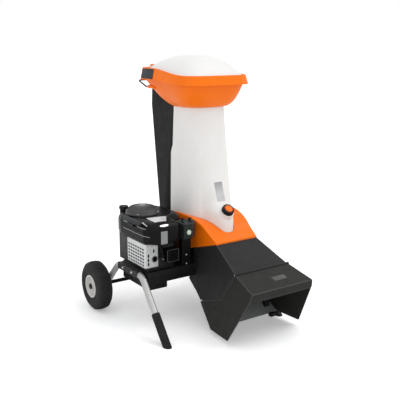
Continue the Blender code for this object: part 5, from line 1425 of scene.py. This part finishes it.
# %% Starter dome and grip
DOME = mm((0, 40), (12, 39.9), (24, 39.4), (36, 38.3), (46, 36.3), (55, 33.6), (62, 30.8), (69, 26.4),
          (75, 20.5), (79, 15), (80.5, 11), (83, 8.8), (84.5, 7), (85, 4), (85, 0.4), (0, 0.4))
DOME_FOOT = Vector((CRANK.x - 0.007, 0.145, SHROUD_TOP))
STARTER_RIBS, GRIP_X, GRIP_Z = 40, -0.4715, 0.546
rib = []
for i, (r, h) in enumerate(DOME[3:11]):
    lift = 0.0016 * math.sin(math.pi * min(1.0, (i + 0.6) / 7.8))
    foot, top = (r, h - 0.002), (r + lift * 0.4, h + lift)
    rib.append([(x, y, z) for (x, z), y in ((foot, -0.0016), (top, -0.0012), (top, 0.0012), (foot, 0.0016))])
wear(turned("starter_cover_dome", DOME, DOME_FOOT, UP, 112, angle=38), DOME_PLASTIC, "engine_black",
     "starter_cover")
wear(ring_of("starter_ribs", pattern("starter_rib_shape", rib), STARTER_RIBS, 0.0, DOME_PLASTIC, DOME_FOOT,
             UP),
     None, "engine_black")
centre_plate = mm((0, 40.6), (15, 40.4), (17.5, 40), (18, 39.2), (18, 38), (0, 38))
wear(turned("starter_centre_plate", centre_plate, DOME_FOOT, UP, 48), GREY_TRIM_AND_HIGHLIGHT, "silver_tube")
turns = [math.radians(45 + 90 * k) for k in range(4)]
ears = [DOME_FOOT + Vector((0.0815 * math.cos(t), 0.0815 * math.sin(t), 0.0088)) for t in turns]
fix("starter_bolts", HEX_BOLT, facing(UP, *ears), ZINC_BOLT, "bright_steel", 0.8)
dress("starter_grip", GRIP_DARK, 0.0012)
ridge = pattern("grip_ridge_shape", [four(0.0074, 0.0026, -0.002), four(0.006, 0.0012, 0.0005)])
ridges = facing(LEFT, *[(GRIP_X, -0.008 + 0.0135 * k, GRIP_Z) for k in range(11)])
fix("starter_grip_ridges", ridge, ridges, GRIP_DARK, "engine_black", body=BODY_OF["starter_grip"])
wear(rod("starter_cord_ferrule", (-0.461, 0.1385, GRIP_Z), (-0.461, 0.1455, GRIP_Z), 0.0045, 24, 0.0008),
     BRIGHT_STEEL,
     "bright_steel", body=BODY_OF["starter_grip"])
print("starter ribs and ridges:", STARTER_RIBS, len(ridges))

# %% [markdown]
# Muffler side. A bright sheet guard with rows of rounded slots stands over the muffler, so that nobody
# touches it. It is folded from one sheet, open behind and below, with a round hole for the outlet. The
# slots are one punch shape, set at a grid of points by the tree and cut through in one step.

# %% Slotted guard, outlet and muffler
GUARD_LOW, GUARD_HIGH = Vector((-0.45, -0.05, 0.324)), Vector((-0.376, 0.13, 0.4445))
SLOT_R, SLOT_REACH, VENT_Z = 0.0043, 0.005, 0.4335
OUTLET = Vector((-0.397, -0.05, 0.366))
guard = block("muffler_guard_sheet", GUARD_LOW, GUARD_HIGH, 0.005, 5)
carve(guard, block("guard_room", (-0.4486, -0.0486, 0.3), (-0.3, 0.1286, 0.4431), 0.003, 3),
      block("guard_room_below", (-0.4486, -0.0486, 0.3), (-0.3, 0.1286, 0.34)))

# The punch is a rod with a long round-ended section.
turns = [(side, math.radians(first + 22.5 * k)) for side, first in ((1.0, 0), (-1.0, 180)) for k in range(9)]
around = [(SLOT_R * math.cos(t), side * SLOT_REACH + SLOT_R * math.sin(t)) for side, t in turns]
punch = pattern("slot_punch_shape", [[(x, y, z) for x, y in around] for z in (-0.006, 0.006)])
places = facing(LEFT, *[(GUARD_LOW.x, GUARD_LOW.y + 0.0215 + 0.0232 * column,
                         GUARD_LOW.z + 0.0135 + 0.016 * row)
                        for row in range(6) for column in range(7)])
places += facing(FRONT, *[(-0.432, GUARD_LOW.y, z) for z in (0.345, 0.366, 0.387)],
                 (-0.402, GUARD_LOW.y, 0.408))
carve(guard, set_at("guard_slots", punch, places, GUARD_PLATE),
      rod("outlet_hole", OUTLET - FRONT * -0.01, OUTLET - FRONT * 0.02, 0.0142, 40),
      *[rod("vent", (x, -0.06, VENT_Z), (x, -0.04, VENT_Z), 0.0024, 16) for x in (-0.436, -0.412, -0.388)])
even(wear(guard, GUARD_PLATE, "bright_steel", "muffler_guard"))
rolled = mm((14.7, 0), (15.6, 1.1), (17, 1.2), (18.2, 0.2), (18.2, -1), (14.7, -1))
pipe = mm((13.8, 0.4), (13.8, -13.2), (11.8, -13.2), (11.8, 0.4))
wear(turned("outlet_rolled_rim", rolled, OUTLET, FRONT, 48, ring=True), GREY_TRIM_AND_HIGHLIGHT, "bright_steel")
wear(turned("outlet_pipe", pipe, OUTLET, FRONT, 40, ring=True), BLACK_COAT, "black_steel")
corners = facing(LEFT, *[(-0.45, y, z) for y in (-0.039, 0.119) for z in (0.33, 0.4385)])
fix("guard_screws", PAN_SCREW, corners, ZINC_BOLT, "bright_steel")
dress("muffler", BLACK_COAT, 0.001)
print("guard faces:", len(guard.data.polygons), "slots:", len(places))

# %% [markdown]
# Engine block. The CAD casting gets a finish and small rounded edges. In front of it sit the cylinder's
# cooling fins, the plug with its boot and lead, the governor wire, and the air filter's box with a grey
# frame. The fins are one plate that the tree sets at seven heights.

# %% Block, fins, plug and lead
dress("engine_block", ENGINE_ALLOY, 0.0016)
plate = cornered([(x, y) for x, y, z in four(0.0125, 0.0112, 0.0)], (0.004,) * 4, 4)
fin = pattern("fin_shape", [[(x, y, z) for x, y in plate] for z in (-0.0008, 0.0008)])
fins = facing(UP, *[(-0.3585, -0.0412, 0.38 + 0.0092 * k) for k in range(7)])
fix("cylinder_fins", fin, fins, ENGINE_ALLOY, "engine_black")
PLUG = Vector((-0.3565, -0.0303, 0.362))
boot = mm((0, 29.2), (4.4, 29.1), (5.2, 28.2), (6, 26.2), (5.6, 23.6), (6.2, 21.6), (5.7, 19.2), (6.6, 17.2),
          (6.6, 13), (8.4, 12.4), (8.9, 11), (8.9, 3), (8.2, 1.8), (8.2, 0.2), (0, 0.2))
wear(turned("spark_plug_turned", boot, PLUG, FRONT, 36), BRACKET_COAT, "bright_steel", "spark_plug")
tip = mm((0, 33.7), (2.8, 33.6), (3.6, 32.8), (3.6, 29), (0, 29))
wear(turned("spark_plug_tip", tip, PLUG, FRONT, 30), ZINC_BOLT, "bright_steel")
lead = bent([PLUG + Vector((0, -0.0325, 0)), PLUG + Vector((0, -0.0345, 0.008)), (-0.364, -0.063, 0.4),
             (-0.372, -0.06, 0.425), (-0.37, -0.05, 0.448)], 0.006, 6)
wear(along("plug_lead", lead, 0.0024, 16), SLEEVE_BLACK, "black_steel")
wire = bent([(-0.365, -0.064, 0.4465), (-0.374, -0.0645, 0.418), (-0.3735, -0.06, 0.39)], 0.01, 6)
wear(along("governor_wire", wire, 0.0007, 10), BRACKET_COAT, "bright_steel")
print("block, fins, plug and lead made")

# %% Air filter box and the two filler caps
filter_box = block("air_filter_box", (-0.341, -0.0734, 0.343), (-0.273, -0.0303, 0.408), 0.005, 4)
carve(filter_box, block("filter_seam", (-0.36, -0.053, 0.3395), (-0.25, -0.0518, 0.3437)))
even(wear(filter_box, ENGINE_PLASTIC, "engine_black", "air_filter_cover"))

# The frame is a flat bar that runs round the box's front.
FRAME_Y, FRAME_BAR = -0.073, 0.0018
edge = [(-0.3395, 0.3448), (-0.2745, 0.3448), (-0.2745, 0.4062), (-0.3395, 0.4062)]
whole, small = cornered(edge, (0.005,) * 4), cornered(inset(edge, (FRAME_BAR,) * 4), (0.004,) * 4)
rows = [[(x, y, z) for x, z in line] for line, y in (
    (whole, FRAME_Y), (whole, FRAME_Y - FRAME_BAR), (small, FRAME_Y - FRAME_BAR), (small, FRAME_Y))]
wear(skin("air_filter_frame", rows, joined=True), LABEL_GREY, "silver_tube")
louvre = pattern("louvre_shape", [four(0.0225, 0.0017, -0.001), four(0.021, 0.0007, 0.0013)])
bars = facing(FRONT, *[(-0.307, -0.0734, 0.356 + 0.0095 * k) for k in range(5)])
fix("air_filter_louvres", louvre, bars, ENGINE_PLASTIC, "engine_black")

OIL, FUEL = Vector((-0.3, -0.0303, 0.319)), Vector((-0.402, 0.25, 0.5563))
oil = turned("oil_cap_turned", mm((0, 9), (9.5, 8.8), (11.2, 8), (12.4, 6.2), (12.5, 1.5), (11.8, 0.3),
                                  (0, 0.3)), OIL, FRONT, 48)
wing = block("oil_cap_wing", OIL + Vector((-0.0095, -0.0139, -0.0022)),
             OIL + Vector((0.0095, -0.007, 0.0022)), 0.0012)
wear(fuse(oil, wing, angle=SHARP), KNOB_DARK, "dark_plastic", "oil_cap")
fuel = turned("fuel_cap_turned", mm((0, 16), (12, 16.2), (16.5, 17.2), (19, 17.8), (21.2, 17.2), (22.2, 16),
                                    (22.6, 14), (22.6, 3), (22, 1.4), (20.5, 0.3), (0, 0.3)), FUEL, UP, 72)
wear(fuel, KNOB_DARK, "dark_plastic", "fuel_cap")
ends = [four(half, 0.0055, x) for x, half in ((-0.001, 0.0015), (0.0008, 0.0009))]
rib = pattern("cap_rib_shape", [[(x, y, z) for y, z, x in end] for end in ends])
wear(ring_of("fuel_cap_ribs", rib, 24, 0.0226, KNOB_DARK, FUEL + UP * 0.0086, UP), None, "dark_plastic",
     body=BODY_OF["fuel_cap"])
print("filter box and caps made")

# %% [markdown]
# Controls. A post on the belt housing carries a box whose corner faces the tower. It has a round stop
# button in a dark green collar and two levers in slots on its top. The two bright bolts that hold the
# post show in the photo between the engine and the chute.

# %% Control box, button and levers
BOX_LOW, BOX_HIGH = 0.451, 0.529
BUTTON = Vector((CRANK.x + 0.1115, -0.1, 0.487))
LEVERS = (("choke_lever", CRANK.x + 0.1045, 0.022), ("throttle_lever", CRANK.x + 0.148, 0.018))
plan = [(CRANK.x + x, y) for x, y in ((0.087, -0.01), (0.087, -0.1), (0.131, -0.1), (0.176, -0.062),
                                      (0.176, -0.01))]
panel = skin("control_box_moulding", [[(x, y, z) for x, y in plan] for z in (BOX_LOW, BOX_HIGH)])
rounded_edges(panel, 0.0045, 4, 30)
carve(panel, rod("button_bore", BUTTON, BUTTON - FRONT * 0.016, 0.012, 40),
      *[block(name + "_slot", (x - 0.0045, -0.08, BOX_HIGH - 0.03), (x + 0.0045, -0.03, BOX_HIGH + 0.01))
        for name, x, tall in LEVERS],
      block("box_seam", (-0.27, -0.032, BOX_LOW - 0.002), (-0.16, -0.0312, BOX_HIGH + 0.002)))
fuse(panel, block("box_core", (-0.2565, -0.0345, BOX_LOW + 0.001), (-0.1705, -0.029, BOX_HIGH - 0.001)))
even(wear(panel, CONTROL_PLASTIC, "control_grey", "control_box"))
collar = mm((12.2, -1), (12.2, 2.2), (12.8, 3), (14.2, 3), (15.2, 1.6), (15.4, -1))
wear(turned("button_collar", collar, BUTTON, FRONT, 56, ring=True), COLLAR_GREEN, "green")
face = mm((0, 6.6), (3, 6.6), (3.6, 7), (6, 7.1), (6.6, 7.7), (9, 7.8), (10.4, 7.2), (11.2, 6.2), (11.5, 5),
          (11.5, -6), (0, -6))
wear(turned("stop_button_turned", face, BUTTON, FRONT, 56), BUTTON_PALE, "green", "stop_button")
for name, x, tall in LEVERS:
    top, pivot = BOX_HIGH + tall, Vector((x, -0.055, BOX_HIGH - 0.012))
    lever = rod(name + "_moulded", pivot + LEFT * 0.004, pivot - LEFT * 0.004, 0.008, 32, 0.0008)
    fuse(lever, block(name + "_arm", (x - 0.003, pivot.y - 0.0032, pivot.z),
                      (x + 0.003, pivot.y + 0.0032, top - 0.004), 0.001, 2),
         block(name + "_tip", (x - 0.0062, pivot.y - 0.0066, top - 0.011),
               (x + 0.0062, pivot.y + 0.0066, top), 0.003, 4),
         angle=SHARP)
    wear(lever, KNOB_DARK, "dark_plastic", name)
dress("control_post", SOOT_BLACK, 0.0012)
fix("post_bolts", HEX_BOLT, facing(FRONT, (-0.212, -0.046, 0.355), (-0.212, -0.046, 0.3085)), ZINC_BOLT,
    "bright_steel", 0.85)
corners = facing(FRONT, *[(x, -0.1, z) for x in (-0.251, -0.22) for z in (0.458, 0.522)])
fix("box_screws", PAN_SCREW, corners, BLACK_COAT, "black_steel", 0.62)
print("controls made")

# %% [markdown]
# Belt housing, cutting unit and drive. The CAD parts of the steelwork keep their meshes, with a folded
# edge's rounding. Underneath, the belt and its pulleys show, and inside the cutting unit the knife disc
# with its two knives: those are ground bright where they cut and dark where they were cast.

# %% Steelwork, drive and knives
HOUSING_BOLTS = [(x, -0.05, 0.274) for x in (-0.414, -0.345, -0.26, -0.18)]
HOUSING_BOLTS += [(x, 0.0203, 0.272) for x in (0.15, 0.185)]
fix("housing_bolts", HEX_BOLT, facing(FRONT, *HOUSING_BOLTS), BLACK_COAT, "black_steel", 0.95)
for look, edge, names in (
        (BLACK_COAT, 0.0014, ("belt_housing", "cutter_housing")), (BELT_RUBBER, 0.0006, ("drive_belt",)),
        (ENGINE_ALLOY, 0.001, ("drive_pulley", "driven_pulley", "rotor_bearing_lower")),
        (BRIGHT_STEEL, 0.0008, ("crankshaft", "rotor_shaft")), (BRACKET_COAT, 0.001, ("knife_disc",)),
        (BRIGHT_STEEL, 0.0003, ("knife_a", "knife_b", "counter_knife"))):
    for name in names:
        dress(name, look, edge)
print("steelwork dressed")

# %% Close
for name in sorted(set(frame["nodes"]) - USED):
    dress(name, BLACK_COAT)
for shape in PATTERNS:
    bpy.data.objects.remove(shape, do_unlink=True)
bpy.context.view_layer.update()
print("seconds:", round(time.time() - started, 1))
